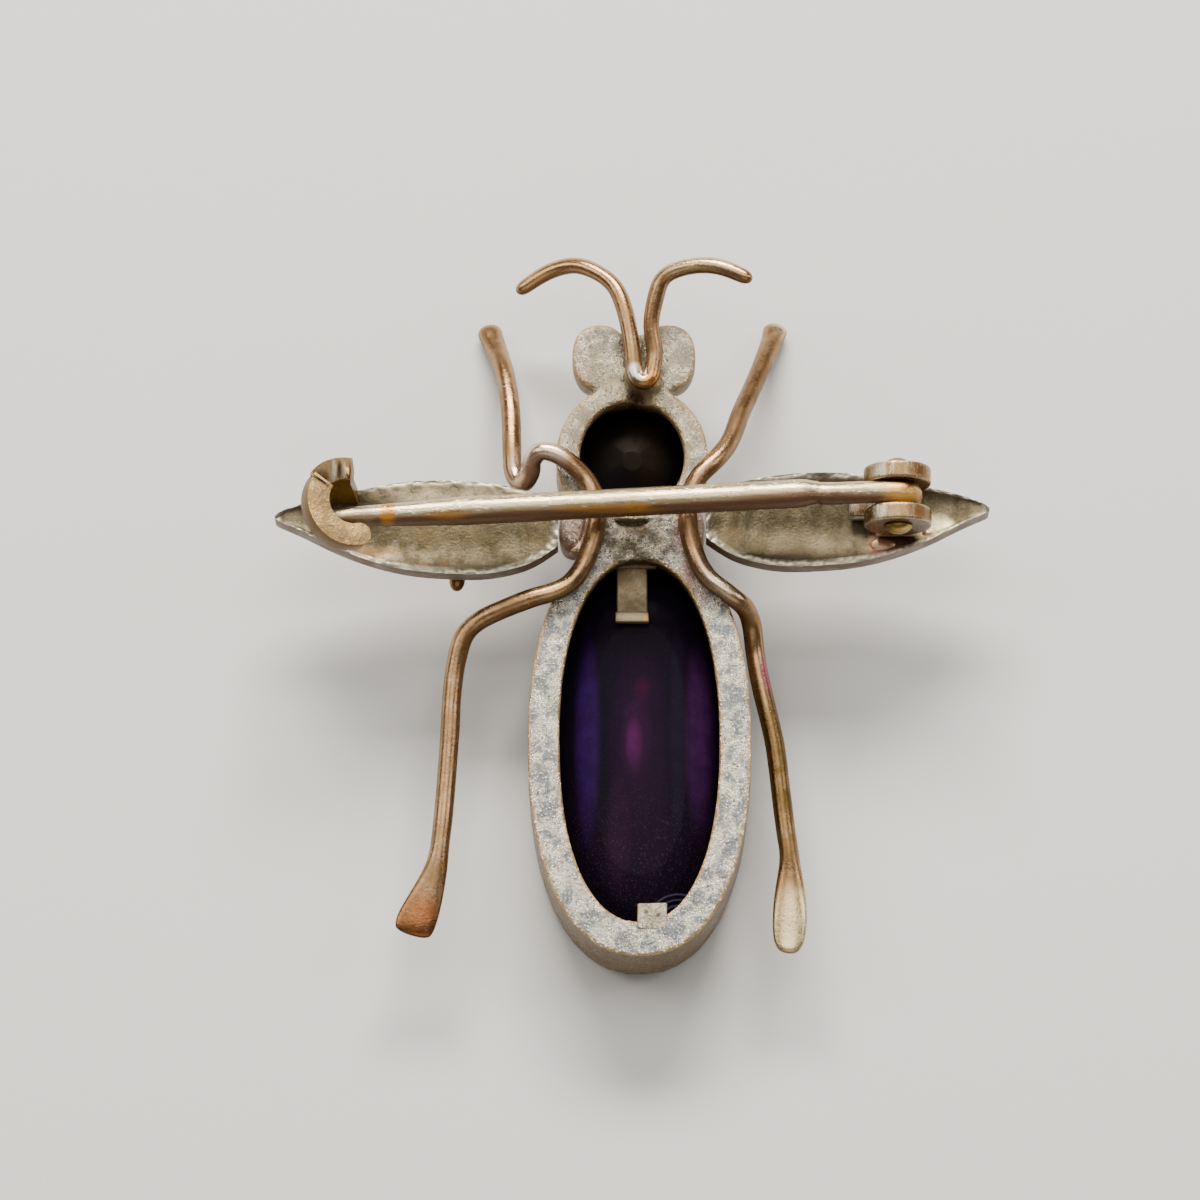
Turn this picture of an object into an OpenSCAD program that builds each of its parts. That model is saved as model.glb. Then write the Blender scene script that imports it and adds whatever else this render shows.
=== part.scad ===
// Insect brooch, seen from its back: +Z is the back, the front faces down.
// The origin is on the surface it lies on, under the middle of its outline.
// -Y is the tail, +Y the antennae, and the pin's hinge is on the +X wing.

/* [Setting of the abdomen] */
// Height of the setting's back rim above the surface that the brooch lies on
back_z = 5.2; // [4.8:0.1:6]
// Length of the setting
abdomen_l = 21.2; // [20:0.1:22.5]
// Width of the setting
abdomen_w = 10.9; // [10:0.1:11.6]
// Squareness of the oval: 2 is an ellipse
oval_power = 2.25; // [2:0.05:2.5]
// How far the setting stands off the middle line
abdomen_x = 0.35; // [0:0.05:0.6]
// Width of the back rim at the sides
rim_side = 1.55; // [1.3:0.05:1.8]
// Width of the back rim at the tail
rim_end = 1.7; // [1.5:0.05:2.2]
// Width of the back rim at the waist
rim_head = 1.4; // [1.2:0.05:1.8]
// Thickness of the back rim
rim_t = 0.8; // [0.6:0.05:1]
// Thickness of the setting's wall
collet_t = 0.55; // [0.45:0.05:0.7]
// Height of the setting's front edge above the surface
front_z = 0.6; // [0.5:0.05:0.8]
// Thickness of the lip that holds a stone from the front
lip_t = 0.4; // [0.3:0.05:0.5]
// How far the lip reaches over a stone
lip_reach = 0.45; // [0.3:0.05:0.5]

/* [Tabs behind the long stone] */
// Width of the upper tab
tab_upper_w = 1.6; // [1.2:0.1:2]
// Free length of the upper tab
tab_upper_l = 2.95; // [2.2:0.05:3.2]
// Width of the lower tab
tab_lower_w = 1.5; // [1.2:0.1:1.8]
// Free length of the lower tab
tab_lower_l = 0.9; // [0.6:0.1:1.3]
// How far the lower tab laps onto the rim
tab_lap = 0.35; // [0.2:0.05:0.5]
// How far the lower tab stands off the setting's middle
tab_lower_x = 0.6; // [0.2:0.1:0.9]
// Length of the upper tab's wider end
tab_lip_l = 0.55; // [0.4:0.05:0.8]
// How far that end stands out on each side
tab_lip_w = 0.06; // [0.03:0.01:0.15]
// Width of the solder at the upper tab's root
tab_root_w = 2.6; // [2:0.1:3]
// How far that solder reaches into the opening
tab_root_l = 0.5; // [0.3:0.05:0.8]
// Thickness of both tabs
tab_t = 0.3; // [0.2:0.05:0.35]

/* [Stones] */
// Gap between a stone and its setting
stone_gap = 0.05; // [0.03:0.01:0.08]
// Height of the abdomen stone's girdle above the surface
girdle_z = 1.5; // [1.4:0.05:1.8]
// Thickness of each stone's girdle
girdle_t = 0.3; // [0.2:0.05:0.5]
// Height of the thorax stone's table above the surface
thorax_table_z = 0.6; // [0.4:0.05:0.7]
// Height of the thorax stone's girdle above the lip in front of it
thorax_girdle_up = 0.45; // [0.3:0.05:0.6]

/* [Thorax and head] */
// Distance along Y from the origin to the middle of the thorax
thorax_y = 7.39; // [7:0.1:8]
// Width of the thorax ring
thorax_w = 7.5; // [7:0.1:8]
// Length of the thorax ring
thorax_l = 7.6; // [7.2:0.1:8]
// Width of its back rim at the sides
thorax_rim_side = 1.18; // [1:0.02:1.3]
// Width of its back rim at the ends
thorax_rim_end = 0.97; // [0.85:0.02:1.1]
// How much lower its back lies than the abdomen's
thorax_drop = 0.2; // [0.1:0.05:0.3]
// Gap between the thorax ring and the abdomen setting, filled by the link plate
waist_gap = 0.2; // [0.1:0.05:0.4]
// Width of the link plate at the waist
link_w = 4.6; // [4:0.1:5]
// How much the link plate flares on each side towards the abdomen
link_flare = 0.9; // [0.6:0.1:1.1]
// Thickness of the link plate
link_t = 1.0; // [0.8:0.1:1.2]
// Width of the notch in the thorax rim below the antennae
notch_w = 1.0; // [0.7:0.1:1.3]
// How far that notch stands off the middle line
notch_x = 0.38; // [0.2:0.02:0.5]
// Length of one eye plate
eye_l = 3.4; // [3:0.1:3.8]
// Width of one eye plate
eye_w = 2.75; // [2.4:0.05:3]
// Distance between the middles of the eye plates
eye_pitch = 3.4; // [3.1:0.1:3.7]
// Height of an eye from its plate to its front
eye_h = 3.3; // [2.8:0.1:3.8]
// Thickness of the head's bridge
head_t = 1.4; // [1.2:0.1:1.8]
// How far the eye plates lap over the thorax ring
head_lap = 0.35; // [0.2:0.05:0.5]
// How much lower the eye plates lie than the thorax rim
head_drop = 0.1; // [0.05:0.05:0.2]

/* [Wings] */
// Length of a wing from root to tip
wing_l = 13.9; // [13:0.1:15]
// Widest width of a wing
wing_w = 4.75; // [4.2:0.05:5]
// Thickness of a wing
wing_t = 1.8; // [1.6:0.1:2]
// Height of the wings' backs above the abdomen's rim
wing_lift = 0.8; // [0.7:0.05:1]
// Depth of the hollow in a wing's back
wing_dish = 0.35; // [0.2:0.05:0.45]
// Rise of the domed front of a wing
wing_dome = 0.5; // [0.3:0.05:0.7]
// Middle line of the left wing
wing_left_y = 3.52; // [3.4:0.05:3.7]
// Middle line of the right wing
wing_right_y = 3.92; // [3.8:0.05:4.1]
// Width across the shoulders that carry the wings
shoulder_w = 7.2; // [7:0.1:7.6]
// Reach of the shoulders behind the left wing's middle line
shoulder_tail = 0.9; // [0.7:0.05:1.1]
// Reach of the shoulders before the right wing's middle line
shoulder_nose = 1; // [0.8:0.05:1.1]
// Height of the shoulders' front above the surface
shoulder_low_z = 2.6; // [2:0.1:3]

/* [Wires] */
// Diameter of the leg wires
leg_d = 1.0; // [0.8:0.05:1.1]
// How far the left rear foot stands out sideways
leg_spread = 10.8; // [10.5:0.1:12]
// How far the feet reach along Y
leg_reach = 16; // [15.5:0.1:17]
// Diameter of the antenna wire
antenna_d = 0.86; // [0.7:0.02:0.95]
// How far the antennae stand out sideways
antenna_spread = 5.6; // [5:0.1:6.5]
// Length along Y of the antennae beyond their foot
antenna_l = 6.4; // [6:0.1:7]
// How far the antennae's foot laps over the thorax ring
antenna_lap = 0.14; // [0.05:0.01:0.25]
// Rise of the right antenna's tip, and fall of the left one's
antenna_lift = 2.1; // [1.5:0.1:2.5]
// Gap where a soldered piece meets the body
seat_gap = 0.03; // [0.02:0.01:0.05]

/* [Pin and hinge] */
// Diameter of the pin's stem
pin_d = 1.4; // [1.2:0.05:1.5]
// Diameter of the pin's thin tongue beside the hinge
tongue_d = 1.1; // [1:0.05:1.15]
// Length of the tongue from the rivet
tongue_l = 4.4; // [4:0.1:5]
// Slope of the stem across the brooch, in degrees
stem_slope = 3.1; // [2.6:0.1:3.4]
// Length of the stem's even part
stem_l = 16.8; // [16:0.1:17]
// Length over which the stem tapers
taper_l = 6.2; // [5.6:0.1:6.4]
// Diameter at the end of the taper
taper_d = 0.9; // [0.8:0.05:1]
// Length of the point
point_l = 0.75; // [0.5:0.05:0.9]
// Diameter of the point's end
point_d = 0.3; // [0.2:0.02:0.4]
// Slope of the tongue, in degrees
tongue_slope = -2; // [-3:0.2:0]
// Share of the right wing's length at which the rivet stands
hinge_share = 0.672; // [0.65:0.002:0.69]
// How far the hinge stands off the right wing's middle line
hinge_off = 0.5; // [0.4:0.05:0.6]
// Radius of the hinge's round ears
ear_r = 1.65; // [1.5:0.05:1.75]
// Thickness of an ear
ear_t = 0.85; // [0.7:0.05:0.95]
// Height of the rivet above the ears' middle
rivet_rise = 0.3; // [0.2:0.05:0.4]
// Thickness of the hinge's base plate
base_t = 0.3; // [0.2:0.05:0.4]
// Reach of the base plate towards the body from the rivet
base_l = 2.3; // [2:0.1:2.8]
// Width of an ear's foot on the wing
ear_foot = 2; // [1.6:0.1:2.4]
// How far the round ears reach into the base plate
ear_sink = 0.08; // [0.04:0.02:0.2]
// Radius of the pin's eye
eye_r = 1.2; // [1.1:0.05:1.3]
// Width of the pin's eye between the ears
eye_t = 1.15; // [1:0.05:1.3]
// How far the eye's round heel stands past the rivet
heel_reach = 1.75; // [1.5:0.05:1.85]
// Diameter of the rivet
rivet_d = 1.0; // [0.9:0.05:1.1]
// Diameter of the rivet's heads
rivet_head_d = 1.4; // [1.3:0.05:1.5]
// Running clearance around the rivet
rivet_gap = 0.04; // [0.02:0.01:0.08]
// Side clearance between the eye and each ear
eye_gap = 0.05; // [0.03:0.01:0.08]

/* [Catch] */
// Outer radius of the catch's hook
hook_r = 2.25; // [2.1:0.05:2.35]
// Width of the hook's band
hook_w = 1.1; // [0.95:0.05:1.15]
// Thickness of the hook
hook_t = 1.1; // [0.9:0.05:1.2]
// Tilt of the hook towards the hinge, in degrees
hook_tilt = 20; // [16:1:22]
// Share of the left wing's length at which the hook stands
catch_share = 0.734; // [0.72:0.002:0.74]
// How far the hook stands off the left wing's middle line
catch_off = 0.32; // [0.2:0.02:0.4]
// Clearance between the pin and the hook above it
hook_gap = 0.1; // [0.05:0.01:0.2]
// Slope of the facets where the hook bends down to its post, in degrees
facet_slope = 24; // [18:1:30]
// How much further out than the hook the post stands at its end
post_out = 0.2; // [0.1:0.05:0.3]
// How far the post flares at its foot on the wing
post_flare = 0.35; // [0.2:0.05:0.5]

/* [Hidden] */

silver = [0.72, 0.69, 0.62];
rose_gold = [0.72, 0.52, 0.42];
old_gold = [0.62, 0.47, 0.25];
brown_steel = [0.55, 0.48, 0.38];
amethyst = [0.20, 0.08, 0.26];
smoky = [0.13, 0.10, 0.07];

// Levels
thorax_z = back_z - thorax_drop;
thorax_front_z = thorax_table_z + front_z;
head_z = thorax_z - head_drop;
wing_z = back_z + wing_lift;
shoulder_z = wing_z - wing_t + lip_t;
leg_deck_z = back_z + seat_gap + leg_d / 2;
antenna_deck_z = thorax_z + seat_gap + antenna_d / 2;
base_z = wing_z + seat_gap;
ear_z = base_z + base_t + ear_r - ear_sink;
pin_z = ear_z + rivet_rise;

// Places in plan
abdomen_y = thorax_y - thorax_l / 2 - waist_gap - abdomen_l / 2;
abdomen_top_y = abdomen_y + abdomen_l / 2;
head_y = thorax_y + thorax_l / 2 + eye_l / 2 - head_lap;
head_x = 0.1;
shoulder_x = shoulder_w / 2;
hinge_x = shoulder_x + wing_l * hinge_share;
hinge_y = wing_right_y + hinge_off;
catch_x = -shoulder_x - wing_l * catch_share;
hook_y = wing_left_y + catch_off;

// Oval outlines with their middle at the origin
oval_sides = 64;
function oval_at(w, l, p, a) =
    [w / 2 * sign(cos(a)) * pow(abs(cos(a)), 2 / p), l / 2 * sign(sin(a)) * pow(abs(sin(a)), 2 / p)];
function oval(w, l, p, n) = [for (i = [0:n - 1]) oval_at(w, l, p, 360 * i / n)];

// Smooth curve through the rows of a table, with n steps between rows
function between(a, b, c, d, t) =
    0.5 * (2 * b + (c - a) * t + (2 * a - 5 * b + 4 * c - d) * t * t + (3 * b - a - 3 * c + d) * t * t * t);
function smooth(rows, n) = [
    for (i = [0:len(rows) - 2], k = [0:n - 1])
        between(rows[max(i - 1, 0)], rows[i], rows[i + 1], rows[min(i + 2, len(rows) - 1)], k / n),
    rows[len(rows) - 1]
];
function unit(v) = v / norm(v);
function place(row) = [row[0], row[1], row[2]];

// Skin over a list of rings with the same number of points, closed at both ends by fans.
// Seen from the last ring's side, each ring runs clockwise
function middle(ring) = [for (i = [0:2]) let (v = [for (p = ring) p[i]]) v * [for (x = v) 1] / len(v)];
module skin(rings) {
    n = len(rings[0]);
    last = len(rings) - 1;
    first_mid = n * (last + 1);
    polyhedron(
        points = [for (r = rings) each r, middle(rings[0]), middle(rings[last])],
        faces = [
            for (i = [0:last - 1], k = [0:n - 1])
                [i * n + k, i * n + (k + 1) % n, (i + 1) * n + (k + 1) % n],
            for (i = [0:last - 1], k = [0:n - 1])
                [i * n + k, (i + 1) * n + (k + 1) % n, (i + 1) * n + k],
            for (k = [0:n - 1]) [(k + 1) % n, k, first_mid],
            for (k = [0:n - 1]) [last * n + k, last * n + (k + 1) % n, first_mid + 1]
        ],
        convexity = 8
    );
}

// A bent wire with round ends. Each row is x, y, z, width share, thickness share
wire_sides = 12;
function ring_at(p, t, r, w, h) =
    let (side = unit(cross(t, [0, 0, 1])), up = cross(side, t))
    [for (k = [0:wire_sides - 1])
        let (a = 360 * k / wire_sides)
        p + side * cos(a) * r * w + up * sin(a) * r * h];
function way(rows, i) = unit(place(rows[min(i + 1, len(rows) - 1)]) - place(rows[max(i - 1, 0)]));
cap_angles = [75, 45];
module wire(rows, d) {
    r = d / 2;
    last = len(rows) - 1;
    head = way(rows, 0);
    tail = way(rows, last);
    skin([
        for (a = cap_angles)
            ring_at(place(rows[0]) - head * r * rows[0][4] * sin(a), head, r,
                    rows[0][3] * cos(a), rows[0][4] * cos(a)),
        for (i = [0:last]) ring_at(place(rows[i]), way(rows, i), r, rows[i][3], rows[i][4]),
        for (k = [1:-1:0])
            let (a = cap_angles[k])
            ring_at(place(rows[last]) + tail * r * rows[last][4] * sin(a), tail, r,
                    rows[last][3] * cos(a), rows[last][4] * cos(a))
    ]);
}

// An open-backed setting: a wall, a rim behind the stone and a lip in front of it.
// The rim is as wide as side, head and tail say at its sides and at its two ends
module setting(w, l, p, top, bottom, side, head, tail) {
    lip_w = collet_t + lip_reach;
    difference() {
        translate([0, 0, bottom]) linear_extrude(top - bottom) polygon(oval(w, l, p, oval_sides));
        rim_opening(w, l, p, top, side, head, tail);
        setting_room(w, l, p, top, bottom);
        translate([0, 0, bottom - lip_t]) linear_extrude(lip_t * 3)
            polygon(oval(w - 2 * lip_w, l - 2 * lip_w, p, oval_sides));
    }
}

module rim_opening(w, l, p, top, side, head, tail) {
    translate([0, (tail - head) / 2, top - rim_t * 2]) linear_extrude(rim_t * 3)
        polygon(oval(w - 2 * side, l - head - tail, p, oval_sides));
}

module setting_room(w, l, p, top, bottom) {
    translate([0, 0, bottom + lip_t]) linear_extrude(top - rim_t - bottom - lip_t)
        polygon(oval(w - 2 * collet_t, l - 2 * collet_t, p, oval_sides));
}

// A stone: rows are the share of its width, the share of its length, and its height, from the back
module stone(w, l, p, rows, n) {
    skin([for (r = rows) [for (q = oval(w * r[0], l * r[1], p, n)) [q[0], q[1], r[2]]]]);
}

module abdomen_setting() {
    translate([abdomen_x, abdomen_y, 0])
        setting(abdomen_w, abdomen_l, oval_power, back_z, front_z, rim_side, rim_head, rim_end);
}

module thorax_setting() {
    end = thorax_rim_end;
    translate([0, thorax_y, 0])
        setting(thorax_w, thorax_l, 2, thorax_z, thorax_front_z, thorax_rim_side, end, end);
}

// Tabs that hold the long stone from behind, under the rim and at its lower edge
module tabs() {
    edge_y = abdomen_top_y - rim_head;
    upper_y = edge_y - tab_upper_l;
    upper_z = back_z - rim_t - tab_t;
    held_l = rim_head - collet_t / 2;
    lower_y = abdomen_y - abdomen_l / 2 + rim_end;
    translate([-tab_upper_w / 2, upper_y, upper_z]) cube([tab_upper_w, tab_upper_l + held_l, tab_t]);
    translate([-tab_upper_w / 2 - tab_lip_w, upper_y, upper_z + tab_t / 2])
        cube([tab_upper_w + 2 * tab_lip_w, tab_lip_l, tab_t]);
    translate([-tab_root_w / 2, edge_y - tab_root_l, upper_z])
        cube([tab_root_w, tab_root_l + held_l, tab_t * 1.5]);
    translate([abdomen_x + tab_lower_x - tab_lower_w / 2, lower_y - tab_lap, back_z - tab_t * 0.8])
        cube([tab_lower_w, tab_lower_l + tab_lap, tab_t]);
}

// Plate between thorax and abdomen, flaring into the abdomen's rim
module link_plate() {
    far_y = abdomen_top_y - rim_head * 0.7;
    near_y = thorax_y - thorax_l / 2 + thorax_rim_end * 0.7;
    steps = 8;
    flare = function (t) link_w / 2 + link_flare * t * t * t;
    right = [for (k = [0:steps]) [flare(k / steps), near_y + (far_y - near_y) * k / steps]];
    left = [for (k = [steps:-1:0]) [-flare(k / steps), near_y + (far_y - near_y) * k / steps]];
    translate([0, 0, back_z - link_t]) linear_extrude(link_t) polygon(concat(right, left));
}

// Bar under the link plate whose ends carry the wings and the middle leg
module shoulders() {
    low_y = wing_left_y - shoulder_tail;
    high_y = wing_right_y + shoulder_nose;
    translate([-shoulder_x, low_y, shoulder_low_z])
        cube([shoulder_w, high_y - low_y, shoulder_z - shoulder_low_z]);
}

// One domed eye, closed behind. Rows: share of the plate's size, share of the eye's height
eye_rows = [[0.94, 0], [1, 0.06], [1, 0.3], [0.93, 0.55], [0.78, 0.77], [0.52, 0.93], [0.2, 1]];
module eye_cup() {
    skin([for (r = eye_rows)
        [for (q = oval(eye_w * r[0], eye_l * r[0], 2.2, 20)) [q[0], q[1], head_z - eye_h * r[1]]]]);
}

module head() {
    translate([head_x - eye_pitch / 2, head_y, 0]) eye_cup();
    translate([head_x + eye_pitch / 2, head_y, 0]) eye_cup();
    neck_y = thorax_y + thorax_l / 2 - thorax_rim_end * 0.6;
    translate([head_x - eye_pitch * 0.4, neck_y, head_z - head_drop - head_t])
        cube([eye_pitch * 0.8, head_y + eye_l * 0.3 - neck_y, head_t]);
}

module body_frame() {
    color(silver) difference() {
        union() {
            abdomen_setting();
            thorax_setting();
            link_plate();
            shoulders();
            head();
            tabs();
        }
        translate([0, thorax_y, 0]) {
            setting_room(thorax_w, thorax_l, 2, thorax_z, thorax_front_z);
            rim_opening(thorax_w, thorax_l, 2, thorax_z, thorax_rim_side, thorax_rim_end, thorax_rim_end);
            translate([notch_x, thorax_l / 2 - thorax_rim_end, thorax_z - rim_t * 0.6])
                cylinder(d = notch_w, h = rim_t, $fn = 32);
        }
    }
}

// Rows of the long stone: share of width, share of length, height
stone_w = abdomen_w - 2 * (collet_t + stone_gap);
stone_l = abdomen_l - 2 * (collet_t + stone_gap);
keel_z = back_z - rim_t - tab_t - stone_gap;
module abdomen_stone() {
    rise = keel_z - girdle_z - girdle_t;
    lip_z = front_z + lip_t;
    narrow = 2 * (lip_reach + stone_gap);
    rows = [[0.5, 0.64, keel_z], [0.66, 0.78, girdle_z + girdle_t + rise * 0.86],
            [0.8, 0.89, girdle_z + girdle_t + rise * 0.62], [1, 1, girdle_z + girdle_t], [1, 1, girdle_z],
            [1 - narrow / stone_w, 1 - narrow / stone_l, lip_z],
            [0.76, 0.84, lip_z * 0.4], [0.56, 0.68, 0]];
    color(amethyst) translate([abdomen_x, abdomen_y, 0]) stone(stone_w, stone_l, oval_power, rows, 24);
}

module thorax_stone() {
    w = thorax_w - 2 * (collet_t + stone_gap);
    l = thorax_l - 2 * (collet_t + stone_gap);
    lip_z = thorax_front_z + lip_t;
    girdle = lip_z + thorax_girdle_up;
    culet = thorax_z - rim_t - stone_gap;
    narrow = 2 * (lip_reach + stone_gap);
    rise = culet - girdle - girdle_t;
    rows = [[0.16, 0.16, culet], [0.62, 0.62, girdle + girdle_t + rise * 0.62], [1, 1, girdle + girdle_t],
            [1, 1, girdle], [1 - narrow / w, 1 - narrow / l, lip_z], [0.5, 0.5, thorax_table_z]];
    color(smoky) translate([0, thorax_y, 0]) stone(w, l, 2, rows, 16);
}

// Wing outline. Rows: share of length, leading edge and trailing edge as shares of the width
wing_rows = [[0, 0.24, -0.21], [0.06, 0.335, -0.335], [0.13, 0.395, -0.435], [0.25, 0.46, -0.51],
             [0.38, 0.49, -0.51], [0.52, 0.48, -0.475], [0.65, 0.415, -0.385], [0.78, 0.335, -0.24],
             [0.89, 0.255, -0.075], [0.96, 0.185, 0.02], [0.99, 0.14, 0.06], [1, 0.11, 0.085]];
// Section of a wing. Rows: place across from trailing -1 to leading 1, share of the hollow, share of the dome
wing_back = [[-1, 0], [-0.88, 0], [-0.72, 0.55], [-0.4, 0.95], [0, 1], [0.4, 0.95], [0.72, 0.55],
             [0.88, 0], [1, 0]];
wing_front = [[0.98, 0], [0.8, 0.45], [0.45, 0.85], [0, 1], [-0.45, 0.85], [-0.8, 0.45], [-0.98, 0]];
module wing() {
    skin([for (r = smooth(wing_rows, 3))
        let (mid = (r[1] + r[2]) / 2 * wing_w,
             half = (r[1] - r[2]) / 2 * wing_w,
             full = min(1, sin(180 * r[0]) * 1.6),
             edge_z = wing_z - wing_t + wing_dome)
        concat(
            [for (b = wing_back) [r[0] * wing_l, mid + half * b[0], wing_z - wing_dish * b[1] * full]],
            [for (f = wing_front) [r[0] * wing_l, mid + half * f[0], edge_z - wing_dome * f[1] * full]]
        )]);
}

module wing_right() {
    color(silver) translate([shoulder_x + seat_gap, wing_right_y, 0]) wing();
}

module wing_left() {
    color(silver) mirror([1, 0, 0]) translate([shoulder_x + seat_gap, wing_left_y, 0]) wing();
}

// Antennae, one wire. Rows: share of spread, share of length, share of lift, width, thickness
antenna_rows = [[-0.968, 0.86, -0.95, 0.9, 0.9], [-0.745, 0.97, -0.76, 1, 1], [-0.52, 1, -0.5, 1, 1],
                [-0.318, 0.92, -0.26, 1, 1], [-0.148, 0.78, -0.1, 1, 1], [-0.052, 0.55, 0, 1, 1],
                [0.002, 0.28, 0, 1, 1], [0.018, 0.1, 0, 1, 1], [0.045, 0.03, 0, 1, 1], [0.102, 0, 0, 1, 1],
                [0.16, 0.035, 0, 1, 1], [0.184, 0.11, 0, 1, 1], [0.203, 0.24, 0.04, 1, 1],
                [0.17, 0.44, 0.16, 1, 1], [0.205, 0.63, 0.3, 1, 1], [0.284, 0.81, 0.45, 1, 1],
                [0.521, 0.87, 0.66, 1, 1], [0.777, 0.845, 0.85, 1, 1], [0.996, 0.75, 0.97, 0.9, 0.9]];
module antennae() {
    foot_y = thorax_y + thorax_l / 2 - antenna_lap;
    rows = [for (r = antenna_rows)
        [r[0] * antenna_spread, foot_y + r[1] * antenna_l, antenna_deck_z + r[2] * antenna_lift, r[3], r[4]]];
    color(rose_gold) wire(smooth(rows, 3), antenna_d);
}

// Leg wires. Rows: share of spread, share of reach, height from 0 on the surface to 1 on the rim,
// width and thickness as shares of the wire
leg_left_rows = [[-0.66, 0.95, 0, 1.3, 0.75], [-0.625, 0.872, 0.12, 1.1, 0.95], [-0.585, 0.781, 0.3, 1, 1],
    [-0.556, 0.644, 0.48, 1, 1], [-0.55, 0.51, 0.58, 1, 1], [-0.542, 0.43, 0.6, 1, 1],
    [-0.5, 0.388, 0.68, 1, 1], [-0.463, 0.412, 0.82, 1, 1], [-0.455, 0.44, 0.95, 1, 1],
    [-0.412, 0.461, 1.04, 1, 1], [-0.343, 0.45, 1.05, 1, 1], [-0.278, 0.42, 1.03, 1, 1],
    [-0.219, 0.381, 1, 1, 1], [-0.182, 0.34, 1, 1, 1], [-0.159, 0.281, 1, 1, 1],
    [-0.165, 0.222, 1, 1, 1], [-0.19, 0.156, 1, 1, 1], [-0.231, 0.089, 1, 1, 1],
    [-0.292, 0.038, 1, 1, 1], [-0.37, 0.013, 1, 1, 1], [-0.451, -0.003, 1, 1, 1],
    [-0.57, -0.03, 0.95, 1, 1], [-0.69, -0.063, 0.88, 1, 1], [-0.763, -0.109, 0.84, 1, 1],
    [-0.798, -0.19, 0.8, 1, 1], [-0.817, -0.289, 0.77, 1, 1], [-0.825, -0.402, 0.74, 1, 1],
    [-0.838, -0.534, 0.71, 1, 1], [-0.852, -0.656, 0.7, 1, 1], [-0.868, -0.76, 0.69, 1, 1],
    [-0.885, -0.83, 0.69, 1.2, 0.75], [-0.93, -0.92, 0.68, 1.75, 0.5], [-0.975, -0.995, 0.67, 2.05, 0.4],
    [-0.99, -1.025, 0.66, 1.8, 0.35]];
leg_right_rows = [[0.669, 0.954, 0, 1.3, 0.75], [0.643, 0.889, 0.1, 1.1, 0.95], [0.564, 0.738, 0.4, 1, 1],
    [0.501, 0.625, 0.62, 1, 1], [0.447, 0.509, 0.84, 1, 1], [0.378, 0.437, 0.97, 1, 1],
    [0.304, 0.383, 1, 1, 1], [0.262, 0.319, 1, 1, 1], [0.253, 0.237, 1, 1, 1],
    [0.27, 0.17, 1, 1, 1], [0.302, 0.105, 1, 1, 1], [0.352, 0.055, 1, 1, 1],
    [0.412, 0.023, 1, 1, 1], [0.47, -0.006, 0.97, 1, 1], [0.515, -0.026, 0.87, 1, 1],
    [0.545, -0.066, 0.72, 1, 1], [0.558, -0.14, 0.64, 1, 1], [0.576, -0.216, 0.63, 1, 1],
    [0.606, -0.311, 0.63, 1, 1], [0.648, -0.443, 0.63, 1, 1], [0.67, -0.572, 0.63, 1, 1],
    [0.692, -0.698, 0.63, 1, 1], [0.708, -0.781, 0.63, 1, 1], [0.71, -0.859, 0.63, 1.35, 0.7],
    [0.709, -0.96, 0.63, 1.75, 0.5], [0.704, -1.04, 0.62, 1.6, 0.4], [0.698, -1.075, 0.62, 1.1, 0.35]];
function leg_route(rows) = [for (r = rows)
    [r[0] * leg_spread, r[1] * leg_reach, leg_d / 2 + r[2] * (leg_deck_z - leg_d / 2), r[3], r[4]]];

module leg_wire_left() {
    color(rose_gold) wire(smooth(leg_route(leg_left_rows), 3), leg_d);
}

module leg_wire_right() {
    color(rose_gold) wire(smooth(leg_route(leg_right_rows), 3), leg_d);
}

// Middle leg, from the shoulder out under the left wing. Rows as for the antennae, in shares of the wing
middle_rows = [[0, 0, 0, 1, 1], [0.09, -0.02, 0, 1, 1], [0.22, -0.1, 0, 1, 1], [0.3, -0.25, 0, 0.95, 0.95],
               [0.32, -0.4, 0, 0.85, 0.85], [0.323, -0.48, 0, 0.8, 0.8]];
module middle_leg() {
    start_x = shoulder_x + seat_gap + leg_d / 2;
    z = wing_z - wing_t - leg_d / 2 - seat_gap;
    rows = [for (r = middle_rows) [-start_x - r[0] * wing_l, wing_left_y + r[1] * wing_w, z, r[3], r[4]]];
    color(rose_gold) wire(smooth(rows, 3), leg_d);
}

// Hinge: base plate with two round ears, bored for the rivet
ear_in = eye_t / 2 + eye_gap;
module hinge() {
    color(old_gold) difference() {
        union() {
            translate([hinge_x - base_l, hinge_y - ear_in, base_z])
                cube([base_l + ear_foot / 2, 2 * ear_in, base_t]);
            for (side = [-1, 1])
                translate([hinge_x, hinge_y + side * (ear_in + ear_t / 2), 0]) {
                    translate([0, ear_t / 2, ear_z]) rotate([90, 0, 0])
                        cylinder(r = ear_r, h = ear_t, $fn = 64);
                    translate([-ear_foot / 2, -ear_t / 2, base_z]) cube([ear_foot, ear_t, ear_z - base_z]);
                }
        }
        translate([hinge_x, hinge_y + ear_in + 2 * ear_t, pin_z])
            rotate([90, 0, 0]) cylinder(d = rivet_d + 2 * seat_gap, h = 2 * ear_in + 4 * ear_t, $fn = 48);
    }
}

module hinge_rivet() {
    head_h = rivet_head_d * 0.28;
    reach = ear_in + ear_t + seat_gap;
    ball_r = (rivet_head_d * rivet_head_d / 4 + head_h * head_h) / (2 * head_h);
    color(old_gold) translate([hinge_x, hinge_y, pin_z]) {
        rotate([90, 0, 0]) cylinder(d = rivet_d, h = 2 * reach + head_h, center = true, $fn = 48);
        for (side = [-1, 1])
            rotate([side * 90, 0, 0]) translate([0, 0, reach]) difference() {
                translate([0, 0, head_h - ball_r]) sphere(r = ball_r, $fn = 48);
                translate([0, 0, -2 * ball_r]) cube(4 * ball_r, center = true);
            }
    }
}

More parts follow.
